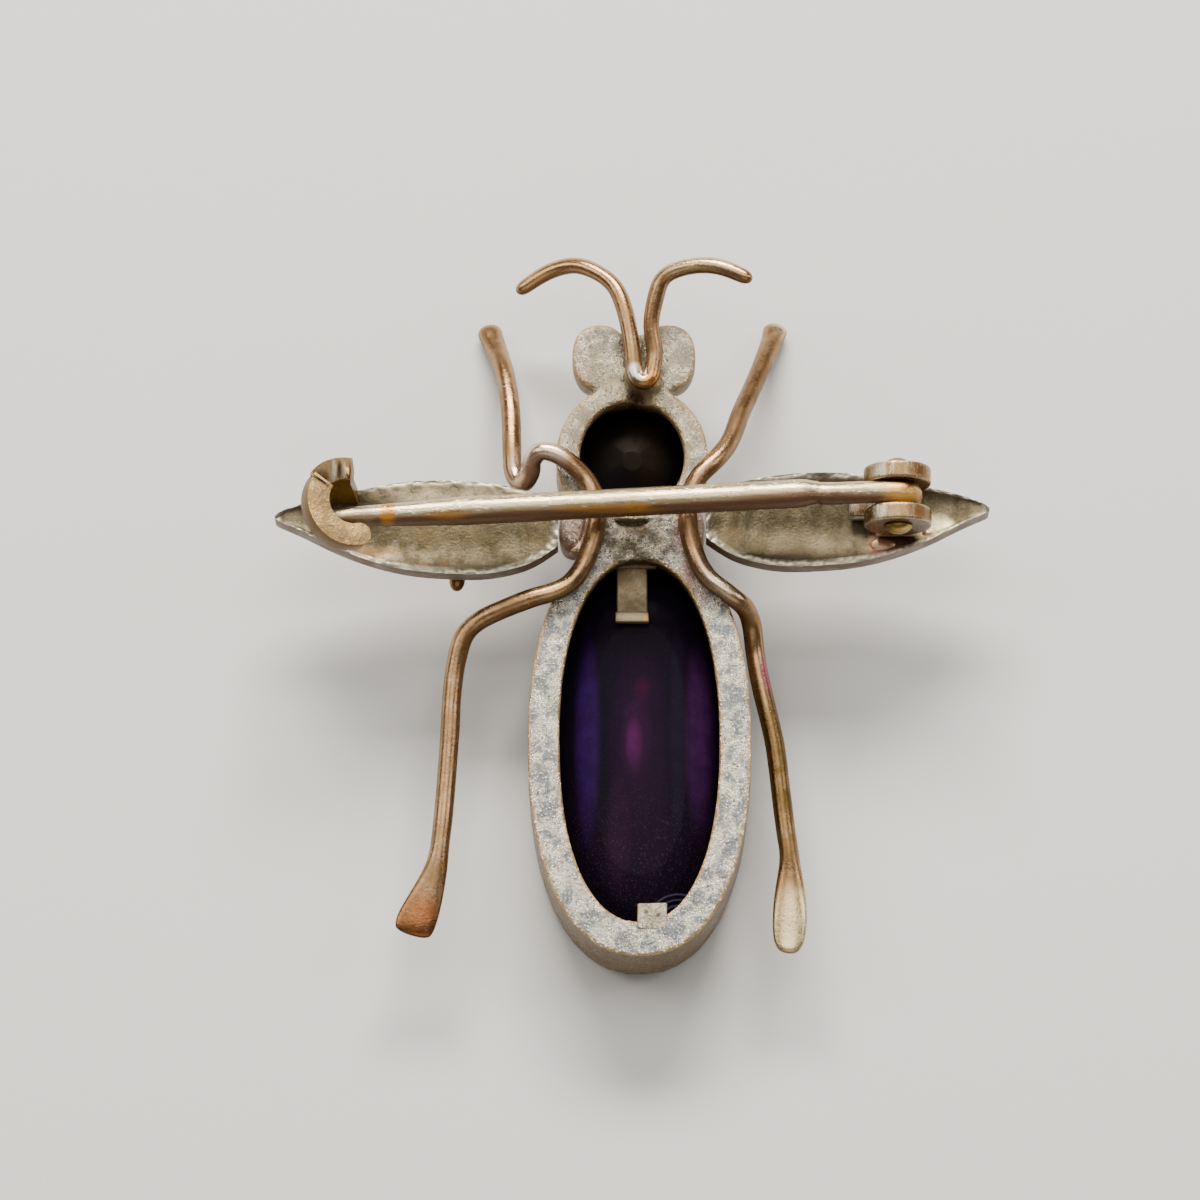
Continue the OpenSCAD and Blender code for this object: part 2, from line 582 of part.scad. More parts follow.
// Pin: eye with a round heel, thin tongue, stem, taper and point. Local -X runs to the tip
module pin_stem() {
    step = [hinge_x - tongue_l * cos(tongue_slope), hinge_y - tongue_l * sin(tongue_slope), pin_z];
    heel_r = eye_r * 0.85;
    color(brown_steel) difference() {
        union() {
            translate([hinge_x, hinge_y + eye_t / 2, pin_z]) rotate([90, 0, 0]) {
                cylinder(r = eye_r, h = eye_t, $fn = 48);
                translate([heel_reach - heel_r, 0, 0]) cylinder(r = heel_r, h = eye_t, $fn = 48);
            }
            translate([hinge_x, hinge_y, pin_z]) rotate([0, -90, tongue_slope]) translate([0, 0, eye_r * 0.6])
                cylinder(d = tongue_d, h = tongue_l - eye_r * 0.6, $fn = 48);
            translate(step) sphere(d = pin_d, $fn = 48);
            translate(step) rotate([0, -90, stem_slope]) {
                cylinder(d = pin_d, h = stem_l, $fn = 48);
                translate([0, 0, stem_l]) cylinder(d1 = pin_d, d2 = taper_d, h = taper_l, $fn = 48);
                translate([0, 0, stem_l + taper_l])
                    cylinder(d1 = taper_d, d2 = point_d, h = point_l, $fn = 48);
                translate([0, 0, stem_l + taper_l + point_l]) sphere(d = point_d, $fn = 24);
            }
        }
        translate([hinge_x, hinge_y + eye_t, pin_z]) rotate([90, 0, 0])
            cylinder(d = rivet_d + 2 * rivet_gap, h = 2 * eye_t, $fn = 48);
    }
}

// Catch: a C-shaped hook over the pin, bent down at its root into a post that stands on the left wing
hook_from = 86;
hook_bend = 150;
hook_to = 285;
post_steps = 10;
module hook_part(from, to) {
    rotate([0, 0, from]) rotate_extrude(angle = to - from, $fn = 64)
        translate([hook_r - hook_w, -hook_t / 2]) square([hook_w, hook_t]);
}

// Plan of the post: it follows the hook's outline and stands a little further out at its end
module post_plan() {
    spread = function (t, r)
        let (a = hook_bend + (hook_from - hook_bend) * t)
        [r * cos(a) * cos(hook_tilt), r * sin(a)];
    polygon(concat(
        [for (k = [0:post_steps]) spread(k / post_steps, hook_r + post_out * k / post_steps)],
        [for (k = [post_steps:-1:0]) spread(k / post_steps, hook_r - hook_w)]
    ));
}

module catch() {
    inner = hook_r - hook_w;
    tip_z = pin_z + taper_d / 2;
    hook_z = tip_z + hook_gap + hook_t / 2 - inner * sin(hook_tilt) * 0.76;
    foot_z = wing_z + seat_gap;
    color(old_gold) {
        translate([catch_x, hook_y, hook_z]) rotate([0, hook_tilt, 0]) {
            hook_part(hook_bend - 4, hook_to);
            rotate([0, 0, hook_to]) translate([hook_r - hook_w / 2, 0, -hook_t / 2])
                cylinder(d = hook_w, h = hook_t, $fn = 32);
        }
        difference() {
            translate([catch_x, hook_y, foot_z]) linear_extrude(hook_z + hook_r - foot_z) post_plan();
            translate([catch_x, hook_y, hook_z]) rotate([0, hook_tilt, 0]) rotate([0, 0, hook_bend])
                translate([inner, 0, hook_t / 2]) rotate([facet_slope, 0, 0])
                translate([-hook_r, -2 * hook_r, 0]) cube(4 * hook_r);
        }
        hull() {
            translate([catch_x - post_out, hook_y + inner, foot_z])
                cube([post_out, hook_w * 0.6, hook_z - foot_z]);
            translate([catch_x - hook_w, hook_y + inner - post_flare, foot_z])
                cube([hook_w + post_flare, hook_w * 0.6, base_t]);
        }
    }
}

body_frame();
abdomen_stone();
thorax_stone();
wing_left();
wing_right();
antennae();
leg_wire_left();
leg_wire_right();
middle_leg();
catch();
hinge();
hinge_rivet();
pin_stem();
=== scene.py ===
"""Dresses the insect brooch: silver settings and wings, gold wires, stones, catch, hinge and pin."""

import math

import bmesh
import bpy
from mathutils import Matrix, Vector, noise


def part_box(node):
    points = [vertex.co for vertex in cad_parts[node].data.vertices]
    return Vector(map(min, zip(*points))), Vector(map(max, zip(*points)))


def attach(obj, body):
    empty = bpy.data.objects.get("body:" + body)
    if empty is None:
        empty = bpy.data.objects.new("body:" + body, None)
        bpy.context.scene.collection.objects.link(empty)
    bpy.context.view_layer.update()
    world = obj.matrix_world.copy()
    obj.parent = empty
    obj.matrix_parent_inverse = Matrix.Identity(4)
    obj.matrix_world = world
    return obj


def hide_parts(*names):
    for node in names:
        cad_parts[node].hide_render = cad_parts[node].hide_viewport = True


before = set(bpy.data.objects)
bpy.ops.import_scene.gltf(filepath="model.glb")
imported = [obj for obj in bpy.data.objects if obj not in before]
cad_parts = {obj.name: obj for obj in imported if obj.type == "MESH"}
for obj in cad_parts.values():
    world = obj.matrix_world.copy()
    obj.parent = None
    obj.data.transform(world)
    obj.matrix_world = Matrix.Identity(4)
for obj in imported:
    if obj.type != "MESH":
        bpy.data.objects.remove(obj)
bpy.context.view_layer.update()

bl_info = {
    "name": "Insect brooch",
    "version": (1, 0, 0),
    "blender": (4, 5, 0),
    "location": "View3D > Sidebar > Brooch",
    "description": "Builds the pieces and finishes of an old insect brooch, seen from its back",
    "category": "Add Mesh",
}

MM = 0.001


class BroochSizes(bpy.types.PropertyGroup):
    """Sizes of the settings, tabs and solder, in the place that the solids give them."""

    back_z: bpy.props.FloatProperty(name="Back", description="Height of the long setting's back rim",
        default=5.2 * MM, unit="LENGTH")
    front_z: bpy.props.FloatProperty(name="Front",
        description="Height of the long setting's front edge", default=0.6 * MM, unit="LENGTH")
    abdomen_w: bpy.props.FloatProperty(name="Abdomen width", description="Width of the long setting",
        default=10.9 * MM, unit="LENGTH")
    abdomen_l: bpy.props.FloatProperty(name="Abdomen length", description="Length of the long setting",
        default=21.2 * MM, unit="LENGTH")
    abdomen_x: bpy.props.FloatProperty(name="Abdomen offset",
        description="Middle of the long setting across the brooch", default=0.35 * MM, unit="LENGTH")
    abdomen_y: bpy.props.FloatProperty(name="Abdomen place",
        description="Middle of the long setting along the brooch", default=-7.21 * MM, unit="LENGTH")
    thorax_y: bpy.props.FloatProperty(name="Thorax place",
        description="Middle of the round setting along the brooch", default=7.39 * MM, unit="LENGTH")
    thorax_w: bpy.props.FloatProperty(name="Thorax width", description="Width of the round setting",
        default=7.5 * MM, unit="LENGTH")
    thorax_l: bpy.props.FloatProperty(name="Thorax length", description="Length of the round setting",
        default=7.6 * MM, unit="LENGTH")
    solder_voxel: bpy.props.FloatProperty(name="Solder rounding",
        description="Grain of the cast metal, which also rounds its joints", default=0.12 * MM,
        unit="LENGTH")
    wear_bevel: bpy.props.FloatProperty(name="Wear on edges",
        description="Width of the worn edges of the catch", default=0.12 * MM, unit="LENGTH")


class BroochColours(bpy.types.PropertyGroup):
    """Colours of the metals, stones and floor."""

    silver: bpy.props.FloatVectorProperty(name="Silver",
        description="Worn silver of the rims and wings", subtype="COLOR", size=3,
        default=(0.62, 0.57, 0.45))
    rose_gold: bpy.props.FloatVectorProperty(name="Rose gold", description="Gold of the wires",
        subtype="COLOR", size=3, default=(0.42, 0.24, 0.115))
    old_gold: bpy.props.FloatVectorProperty(name="Old gold", description="Gold of the catch",
        subtype="COLOR", size=3, default=(0.22, 0.12, 0.022))
    brown_gold: bpy.props.FloatVectorProperty(name="Brown gold",
        description="Tarnished gold of the hinge", subtype="COLOR", size=3, default=(0.4, 0.25, 0.11))
    pin_metal: bpy.props.FloatVectorProperty(name="Pin metal", description="Pale metal of the pin",
        subtype="COLOR", size=3, default=(0.62, 0.51, 0.3))
    amethyst: bpy.props.FloatVectorProperty(name="Violet stone", description="Depth of the long stone",
        subtype="COLOR", size=3, default=(0.006, 0.003, 0.008))
    smoky: bpy.props.FloatVectorProperty(name="Dark stone", description="Depth of the round stone",
        subtype="COLOR", size=3, default=(0.005, 0.004, 0.003))
    floor: bpy.props.FloatVectorProperty(name="Floor", description="Pale floor under the brooch",
        subtype="COLOR", size=3, default=(0.88, 0.865, 0.83))


def sizes():
    return bpy.context.scene.brooch_sizes


def colours():
    return bpy.context.scene.brooch_colours


# Shader node groups, shared by the metals


def start_group(name, numbers, masks):
    """A node group that takes a place and numbers, and puts out masks."""
    group = bpy.data.node_groups.new(name, "ShaderNodeTree")
    sockets = [("Vector", "INPUT", "NodeSocketVector", (0, 0, 0))]
    sockets += [(label, "INPUT", "NodeSocketFloat", value) for label, value in numbers.items()]
    sockets += [(label, "OUTPUT", "NodeSocketFloat", 0.0) for label in masks]
    for label, way, kind, value in sockets:
        group.interface.new_socket(name=label, in_out=way, socket_type=kind).default_value = value
    inside, out = group.nodes.new("NodeGroupInput"), group.nodes.new("NodeGroupOutput")
    return group, inside.outputs, out.inputs


def add(nodes, kind, **settings):
    node = nodes.new(kind)
    for key, value in settings.items():
        setattr(node, key, value)
    return node


def feed(tree, socket, value):
    """Links a socket to another one, or sets its number or colour."""
    if isinstance(value, bpy.types.NodeSocket):
        tree.links.new(value, socket)
    else:
        socket.default_value = value


def put(tree, node, **values):
    """Feeds a node by the names of its inputs, with underscores for spaces."""
    for key, value in values.items():
        feed(tree, node.inputs[key.replace("_", " ")], value)
    return node


def math_node(tree, operation, *values, clamp=False):
    node = add(tree.nodes, "ShaderNodeMath", operation=operation, use_clamp=clamp)
    for socket, value in zip(node.inputs, values):
        feed(tree, socket, value)
    return node.outputs[0]


def times(tree, first, second):
    return math_node(tree, "MULTIPLY", first, second)


def plus(tree, first, second):
    return math_node(tree, "ADD", first, second)


def minus(tree, first, second):
    return math_node(tree, "SUBTRACT", first, second)


def mix_colour(tree, factor, first, second):
    node = add(tree.nodes, "ShaderNodeMix", data_type="RGBA", blend_type="MIX")
    sockets = {s.name: s for s in node.inputs if s.enabled}
    feed(tree, sockets["Factor"], factor)
    for name, value in (("A", first), ("B", second)):
        is_socket = isinstance(value, bpy.types.NodeSocket)
        feed(tree, sockets[name], value if is_socket else (*value, 1)[:4])
    return next(s for s in node.outputs if s.enabled)


def square_sum(tree, first, second):
    return plus(tree, times(tree, first, first), times(tree, second, second))


def glaze(tree, colour, mask, share, tint):
    """A thin coat of a tint where the mask is."""
    return mix_colour(tree, times(tree, mask, share), colour, tint)


def step_range(tree, value, low, high, out_low=0.0, out_high=1.0):
    """A soft step of the value from low to high."""
    node = add(tree.nodes, "ShaderNodeMapRange", interpolation_type="SMOOTHSTEP", clamp=True)
    put(tree, node, Value=value, From_Min=low, From_Max=high, To_Min=out_low, To_Max=out_high)
    return node.outputs["Result"]


def cloud(tree, **values):
    return put(tree, add(tree.nodes, "ShaderNodeTexNoise"), **values).outputs["Fac"]


def make_patches():
    """Soft blotches of tarnish: a mask that covers about the share asked for."""
    numbers = {"Scale": 900.0, "Share": 0.5, "Softness": 0.12}
    group, given, out = start_group("tarnish patches", numbers, ["Mask"])
    blotches = cloud(group, Vector=given["Vector"], Scale=given["Scale"], Detail=6.0, Roughness=0.62)
    middle = minus(group, 1.0, given["Share"])
    middle = plus(group, times(group, middle, 0.5), 0.25)
    low, high = minus(group, middle, given["Softness"]), plus(group, middle, given["Softness"])
    group.links.new(step_range(group, blotches, low, high), out["Mask"])
    return group


def make_grains():
    """Fine grains of worn cast metal: a height, a mask of bright crumbs, which the metals paint as
    glints, and one of dark pits.
    """
    group, given, out = start_group("metal grains", {"Scale": 5000.0, "Crumbs": 0.35},
        ["Height", "Crumb", "Pit"])
    vector, scale = given["Vector"], given["Scale"]
    fine = cloud(group, Vector=vector, Scale=scale, Detail=5.0, Roughness=0.72)
    broad = cloud(group, Vector=vector, Scale=times(group, scale, 0.28), Detail=3.0, Roughness=0.6)
    cells = put(group, add(group.nodes, "ShaderNodeTexVoronoi", feature="F1"), Vector=vector,
        Scale=times(group, scale, 1.15))
    level = minus(group, 0.66, times(group, given["Crumbs"], 0.3))
    level_high = plus(group, level, 0.12)
    dots = step_range(group, cells.outputs["Distance"], 0.46, 0.16)
    glint_crumb = times(group, dots, step_range(group, fine, level, level_high))
    pit = step_range(group, broad, 0.44, 0.33)
    pit = times(group, pit, step_range(group, fine, 0.52, 0.42))
    height = plus(group, times(group, fine, 0.75), times(group, broad, 0.5))
    height = plus(group, height, times(group, glint_crumb, 0.25))
    for name, value in (("Height", height), ("Crumb", glint_crumb), ("Pit", pit)):
        group.links.new(value, out[name])
    return group


def make_scratches():
    """Thin scratches that run along one axis of the place given."""
    group, given, out = start_group("scratches", {"Scale": 1200.0, "Stretch": 14.0}, ["Line"])
    stretch = put(group, add(group.nodes, "ShaderNodeCombineXYZ"), X=given["Stretch"], Y=1.0, Z=1.0)
    mapping = put(group, add(group.nodes, "ShaderNodeMapping"), Vector=given["Vector"],
        Scale=stretch.outputs["Vector"])
    lines = cloud(group, Vector=mapping.outputs["Vector"], Scale=given["Scale"], Detail=3.0,
        Roughness=0.7)
    group.links.new(step_range(group, lines, 0.56, 0.66), out["Line"])
    return group


GROUPS = {}


def use_group(tree, kind, **values):
    makers = {"patches": make_patches, "grains": make_grains, "scratches": make_scratches}
    if kind not in GROUPS:
        GROUPS[kind] = makers[kind]()
    node = add(tree.nodes, "ShaderNodeGroup", node_tree=GROUPS[kind])
    return put(tree, node, **values)


def patch_mask(tree, place, scale, share, softness):
    made = use_group(tree, "patches", Vector=place, Scale=scale, Share=share, Softness=softness)
    return made.outputs["Mask"]


def begin_material(name):
    """An empty material with its shader and its place on the brooch, as separate coordinates."""
    made = bpy.data.materials.new(name)
    made.use_nodes = True
    tree = made.node_tree
    shader = tree.nodes["Principled BSDF"]
    where = add(tree.nodes, "ShaderNodeTexCoord").outputs["Object"]
    apart = put(tree, add(tree.nodes, "ShaderNodeSeparateXYZ"), Vector=where)
    return made, tree, shader, where, apart.outputs


def bump(tree, shader, height, depth, strength):
    node = put(tree, add(tree.nodes, "ShaderNodeBump"), Strength=strength, Distance=depth,
        Height=height)
    tree.links.new(node.outputs["Normal"], shader.inputs["Normal"])


def read_paint(tree, name):
    """A mask painted on the piece's own points."""
    return add(tree.nodes, "ShaderNodeAttribute", attribute_type="GEOMETRY",
        attribute_name=name).outputs["Fac"]


def stain_and_light_ovals(tree, axes, blotches, colour, rows):
    """Soft ovals of colour: stains, and the painted highlights and shade that some rows give. Rows: x,
    y, half width, half length in mm, strength, colour.
    """
    for x, y, half_w, half_l, strength, tint in rows:
        across = math_node(tree, "DIVIDE", minus(tree, axes["X"], x * MM), half_w * MM)
        along = math_node(tree, "DIVIDE", minus(tree, axes["Y"], y * MM), half_l * MM)
        far = square_sum(tree, across, along)
        mask = times(tree, step_range(tree, far, 1.0, 0.0), strength)
        mask = times(tree, mask, step_range(tree, blotches, 0.0, 1.0, 0.7, 1.0))
        colour = mix_colour(tree, mask, colour, tint)
    return colour


def wall_metal(tree, shader, shaded_walls, colour, dull=0.0):
    """The walls take their brown as a painted shade and lose their metal shine, so that they keep it.
    dull is the dirt all over.
    """
    clean = math_node(tree, "SUBTRACT", 1.0 - dull, times(tree, shaded_walls, 0.9), clamp=True)
    put(tree, shader, Base_Color=colour, Metallic=clean)
    shader.inputs["Specular IOR Level"].default_value = 0.3 * (1 - dull)


def silver_finish(name, tint, dark, side, crumbs, depth, rough, edge=(0.66, 0.38, 0.12),
        warm_share=0.1, mottle=0.35, dusky=(0.2, 0.17, 0.13), patch_scale=820.0, stains_and_lights=(), marks_and_lights=()):
    """Worn silver. The painted masks: side, the walls, painted in shade; edge, the rubbed edges;
    hollow, the corners. Its bright crumbs are painted glints.
    """
    made, tree, shader, where, axes = begin_material(name)
    patches = patch_mask(tree, where, patch_scale, share=0.5, softness=0.2)
    warmth = patch_mask(tree, where, 420.0, share=warm_share, softness=0.1)
    grain = use_group(tree, "grains", Vector=where, Scale=6800.0, Crumbs=crumbs)
    lines = use_group(tree, "scratches", Vector=where, Scale=1500.0, Stretch=5.0).outputs["Line"]
    colour = mix_colour(tree, step_range(tree, patches, 0.35, 0.8), tint, dark)
    colour = glaze(tree, colour, warmth, 0.5, (0.46, 0.26, 0.11))
    colour = stain_and_light_ovals(tree, axes, patches, colour, stains_and_lights)
    # Painted shade: the walls and undersides that the side mask marks take the side colour.
    lean = plus(tree, read_paint(tree, "side"), times(tree, patches, 0.25))
    shaded_walls = step_range(tree, lean, 0.3, 0.7)
    colour = mix_colour(tree, shaded_walls, colour, side)
    low_grain = step_range(tree, grain.outputs["Height"], 0.66, 0.52)
    colour = glaze(tree, colour, low_grain, mottle, dusky)
    colour = glaze(tree, colour, grain.outputs["Pit"], 0.55, (0.1, 0.075, 0.045))
    colour = mix_colour(tree, read_paint(tree, "hollow"), colour, (0.06, 0.035, 0.015))
    rubbed = times(tree, read_paint(tree, "edge"), step_range(tree, warmth, 0.0, 1.0, 0.75, 1.0))
    colour = mix_colour(tree, rubbed, colour, edge)
    # Painted glints: the crumbs are lightened to near white away from the walls.
    glint_crumb = times(tree, grain.outputs["Crumb"], minus(tree, 1.0, shaded_walls))
    colour = mix_colour(tree, glint_crumb, colour, (1.0, 0.97, 0.88))
    colour = stain_and_light_ovals(tree, axes, patches, colour, marks_and_lights)
    wall_metal(tree, shader, shaded_walls, colour)
    rough_here = step_range(tree, patches, 0.0, 1.0, rough - 0.04, rough + 0.12)
    put(tree, shader, Roughness=minus(tree, rough_here, times(tree, glint_crumb, 0.1)))
    height = minus(tree, grain.outputs["Height"], times(tree, lines, 0.12))
    bump(tree, shader, height, depth, 0.9)
    return made


def gold_finish(name, tint, dark, side, shine, bright=(0.98, 0.82, 0.58), rubs=0.15,
        depth=0.02 * MM, run=(1.0, 1.0, 1.0), crumbs=0.25, pits=0.25, dull=0.0, stains_and_lights=(), marks_and_lights=()):
    """Old gold, brown on its walls as a painted shade and in its corners, with painted glints on its
    crumbs. run stretches its blotches along an axis.
    """
    made, tree, shader, where, axes = begin_material(name)
    drawn = put(tree, add(tree.nodes, "ShaderNodeMapping"), Vector=where, Scale=run).outputs["Vector"]
    patches = patch_mask(tree, drawn, 700.0, share=0.4, softness=0.22)
    rubbed = patch_mask(tree, drawn, 1610.0, share=0.35, softness=0.12)
    grain = use_group(tree, "grains", Vector=drawn, Scale=6200.0, Crumbs=crumbs)
    colour = glaze(tree, tint, patches, 0.7, dark)
    colour = glaze(tree, colour, rubbed, rubs, bright)
    colour = stain_and_light_ovals(tree, axes, patches, colour, stains_and_lights)
    # Painted shade: the walls and undersides that the side mask marks take the side colour.
    lean = plus(tree, read_paint(tree, "side"), times(tree, patches, 0.2))
    shaded_walls = step_range(tree, lean, 0.1, 0.95)
    colour = mix_colour(tree, shaded_walls, colour, side)
    colour = stain_and_light_ovals(tree, axes, patches, colour, marks_and_lights)
    colour = glaze(tree, colour, grain.outputs["Pit"], pits, (0.09, 0.05, 0.02))
    colour = mix_colour(tree, read_paint(tree, "hollow"), colour, (0.05, 0.03, 0.012))
    colour = glaze(tree, colour, read_paint(tree, "edge"), 0.7, bright)
    # Painted glints: the crumbs are lightened to the bright colour.
    glint_crumb = times(tree, grain.outputs["Crumb"], minus(tree, 0.6, times(tree, shaded_walls, 0.6)))
    colour = mix_colour(tree, glint_crumb, colour, bright)
    wall_metal(tree, shader, shaded_walls, colour, dull)
    put(tree, shader, Roughness=step_range(tree, patches, 0.0, 1.0, shine, shine + 0.16))
    bump(tree, shader, grain.outputs["Height"], depth, 0.8)
    return made


def stone_finish(name, deep, glow, specks, speck_from, speck_to, arcs=()):
    """A dark polished stone with colour inside it. Its pale specks grow stronger from one place
    along it to the other. Glow rows are as those of stains, and arc rows are x, y, radius in mm."""
    made, tree, shader, where, axes = begin_material(name)
    blotches = patch_mask(tree, where, 1300.0, share=0.5, softness=0.12)
    colour = mix_colour(tree, 0.15, stain_and_light_ovals(tree, axes, blotches, deep, glow), deep)
    dust = use_group(tree, "grains", Vector=where, Scale=9000.0, Crumbs=specks)
    fading = step_range(tree, axes["Y"], speck_from * MM, speck_to * MM, 0.03, 0.14)
    colour = glaze(tree, colour, dust.outputs["Crumb"], fading, (0.22, 0.14, 0.2))
    for x, y, radius in arcs:
        across = minus(tree, axes["X"], x * MM)
        along = minus(tree, axes["Y"], y * MM)
        far = math_node(tree, "SQRT", square_sum(tree, across, along))
        off_line = math_node(tree, "ABSOLUTE", minus(tree, far, radius * MM))
        line = step_range(tree, off_line, 0.07 * MM, 0.0)
        part = step_range(tree, along, 0.2 * radius * MM, 0.9 * radius * MM)
        colour = glaze(tree, colour, times(tree, line, part), 0.4, (0.15, 0.14, 0.26))
    put(tree, shader, Base_Color=colour, Roughness=0.34)
    shader.inputs["IOR"].default_value = 1.5
    shader.inputs["Specular IOR Level"].default_value = 0.03
    return made


# Mesh helpers


def cad_bmesh(node):
    """A merged copy of a solid's mesh, to be worked on."""
    bm = bmesh.new()
    bm.from_mesh(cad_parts[node].data)
    bmesh.ops.remove_doubles(bm, verts=bm.verts, dist=0.002 * MM)
    return bm


def join_quads(bm, degrees):
    bmesh.ops.join_triangles(bm, faces=bm.faces, angle_face_threshold=math.radians(degrees),
        angle_shape_threshold=math.radians(60))


def sharp_edges(bm, degrees):
    limit = math.radians(degrees)
    return [e for e in bm.edges if len(e.link_faces) == 2 and e.calc_face_angle(0) > limit]


def wear_edges(bm, width, segments=3, degrees=32):
    """Flat faces are joined and every sharp edge is rounded. Gives back the rounded faces."""
    bmesh.ops.dissolve_limit(bm, angle_limit=math.radians(0.6), verts=bm.verts, edges=bm.edges)
    worn = bmesh.ops.bevel(
        bm, geom=sharp_edges(bm, degrees), offset=width, offset_type="OFFSET", segments=segments,
        profile=0.5, affect="EDGES", material=-1, clamp_overlap=True,
    )["faces"]
    bmesh.ops.triangulate(bm, faces=[f for f in bm.faces if len(f.verts) > 4])
    return worn


def waver(bm, depth, pitch, seed):
    """Hand work: every point moves a little along its normal, by smooth noise."""
    bm.normal_update()
    shift = Vector((seed, seed * 1.7, seed * 0.6))
    moves = [(v, v.normal * noise.noise(v.co / pitch + shift) * depth) for v in bm.verts]
    for v, move in moves:
        v.co += move


def ramp(t):
    return max(0.0, min(1.0, t))


def paint(piece, name, value):
    """Gives each point of a piece a number from its place in mm and its normal."""
    mesh = piece.data
    normals = [n.vector.copy() for n in mesh.vertex_normals]
    layer = mesh.attributes.new(name, "FLOAT", "POINT")
    layer.data.foreach_set("value", [value(v.co / MM, n) for v, n in zip(mesh.vertices, normals)])


def paint_wear(piece, lean=(0, 0, 1), low=0.2, high=0.75, reach=0.16, depth=0.1):
    """Paints a metal piece's masks: side, where painted shade goes, by the normal's lean; edge and
    hollow by the curve there.
    """
    lean = Vector(lean).normalized()
    bm = bmesh.new()
    bm.from_mesh(piece.data)
    bm.normal_update()
    bend = [0.0] * len(bm.verts)
    bm.verts.index_update()
    for v in bm.verts:
        steps = [(e.other_vert(v).co - v.co) for e in v.link_edges]
        total = sum(step.length for step in steps) or 1
        bend[v.index] = -sum(step.dot(v.normal) for step in steps) / total
    eased = list(bend)
    for v in bm.verts:
        near = [bend[e.other_vert(v).index] for e in v.link_edges]
        eased[v.index] = (bend[v.index] * 2 + sum(near)) / (2 + len(near))
    bm.free()
    # side marks painted shade on the faces that turn away from the lean direction.
    paint(piece, "side", lambda p, n: 1 - ramp((n.dot(lean) - low) / (high - low)))
    for name, sign in (("edge", 1), ("hollow", -1)):
        layer = piece.data.attributes.new(name, "FLOAT", "POINT")
        layer.data.foreach_set("value", [ramp((sign * b - depth) / reach) for b in eased])


def finish_piece(name, bm, body, materials, nodes=()):
    mesh = bpy.data.meshes.new(name)
    bm.to_mesh(mesh)
    bm.free()
    piece = bpy.data.objects.new(name, mesh)
    bpy.context.scene.collection.objects.link(piece)
    for material in materials:
        mesh.materials.append(material)
    mesh.polygons.foreach_set("use_smooth", [True] * len(mesh.polygons))
    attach(piece, body)
    if nodes:
        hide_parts(*nodes)
    return piece


def bake_modifiers(piece):
    """Applies the modifiers of a piece to its mesh."""
    graph = bpy.context.evaluated_depsgraph_get()
    mesh = bpy.data.meshes.new_from_object(piece.evaluated_get(graph))
    piece.modifiers.clear()
    piece.data = mesh
    mesh.polygons.foreach_set("use_smooth", [True] * len(mesh.polygons))


def subdivide(piece, name, levels):
    soft = piece.modifiers.new(name, "SUBSURF")
    soft.levels = soft.render_levels = levels
    bake_modifiers(piece)


def oval_at(half_w, half_l, power, angle):
    c, s = math.cos(angle), math.sin(angle)
    return (
        math.copysign(half_w * abs(c) ** (2 / power), c),
        math.copysign(half_l * abs(s) ** (2 / power), s),
    )


def stack_rings(bm, centre, rows, power, count, closed):
    """A circle extruded through rows of half width, half length, shift along Y and height, in mm.
    closed joins the last ring to the first; otherwise both ends are capped."""
    ring, edges, angles = new_ring(bm, count)
    first = list(edges)
    for number, (half_w, half_l, shift, z) in enumerate(rows):
        if number:
            ring, edges, angles = extrude_ring(bm, ring, edges, angles)
        for v in ring:
            x, y = oval_at(half_w * MM, half_l * MM, power, angles[v])
            v.co = (centre[0] + x, centre[1] + y + shift * MM, z * MM)
    if closed:
        bmesh.ops.bridge_loops(bm, edges=first + edges)
    else:
        bmesh.ops.contextual_create(bm, geom=first)
        bmesh.ops.contextual_create(bm, geom=edges)


def extrude_ring(bm, ring, edges, angles):
    """Extrudes a ring of edges in place and carries each point's angle over."""
    before = {tuple(round(c, 9) for c in v.co): angles[v] for v in ring}
    grown = bmesh.ops.extrude_edge_only(bm, edges=edges)["geom"]
    ring = [g for g in grown if isinstance(g, bmesh.types.BMVert)]
    new = set(ring)
    edges = [g for g in grown if isinstance(g, bmesh.types.BMEdge) and set(g.verts) <= new]
    return ring, edges, {v: before[tuple(round(c, 9) for c in v.co)] for v in ring}


def new_ring(bm, count):
    ring = bmesh.ops.create_circle(bm, cap_ends=False, segments=count, radius=1)["verts"]
    angles = {v: math.atan2(v.co.y, v.co.x) for v in ring}
    return ring, list({e for v in ring for e in v.link_edges}), angles


def sweep(bm, rows, across, count):
    """A round bar through rows of place, direction, half width and half height, in mm. across is
    the direction of its width."""
    ring, edges, angles = new_ring(bm, count)
    first = list(edges)
    across = Vector(across).normalized()
    for number, (place, direction, half_w, half_h) in enumerate(rows):
        if number:
            ring, edges, angles = extrude_ring(bm, ring, edges, angles)
        up = across.cross(Vector(direction)).normalized()
        for v in ring:
            a = angles[v]
            v.co = (Vector(place) + across * half_w * math.cos(a) + up * half_h * math.sin(a)) * MM
    bmesh.ops.contextual_create(bm, geom=first)
    bmesh.ops.contextual_create(bm, geom=edges)


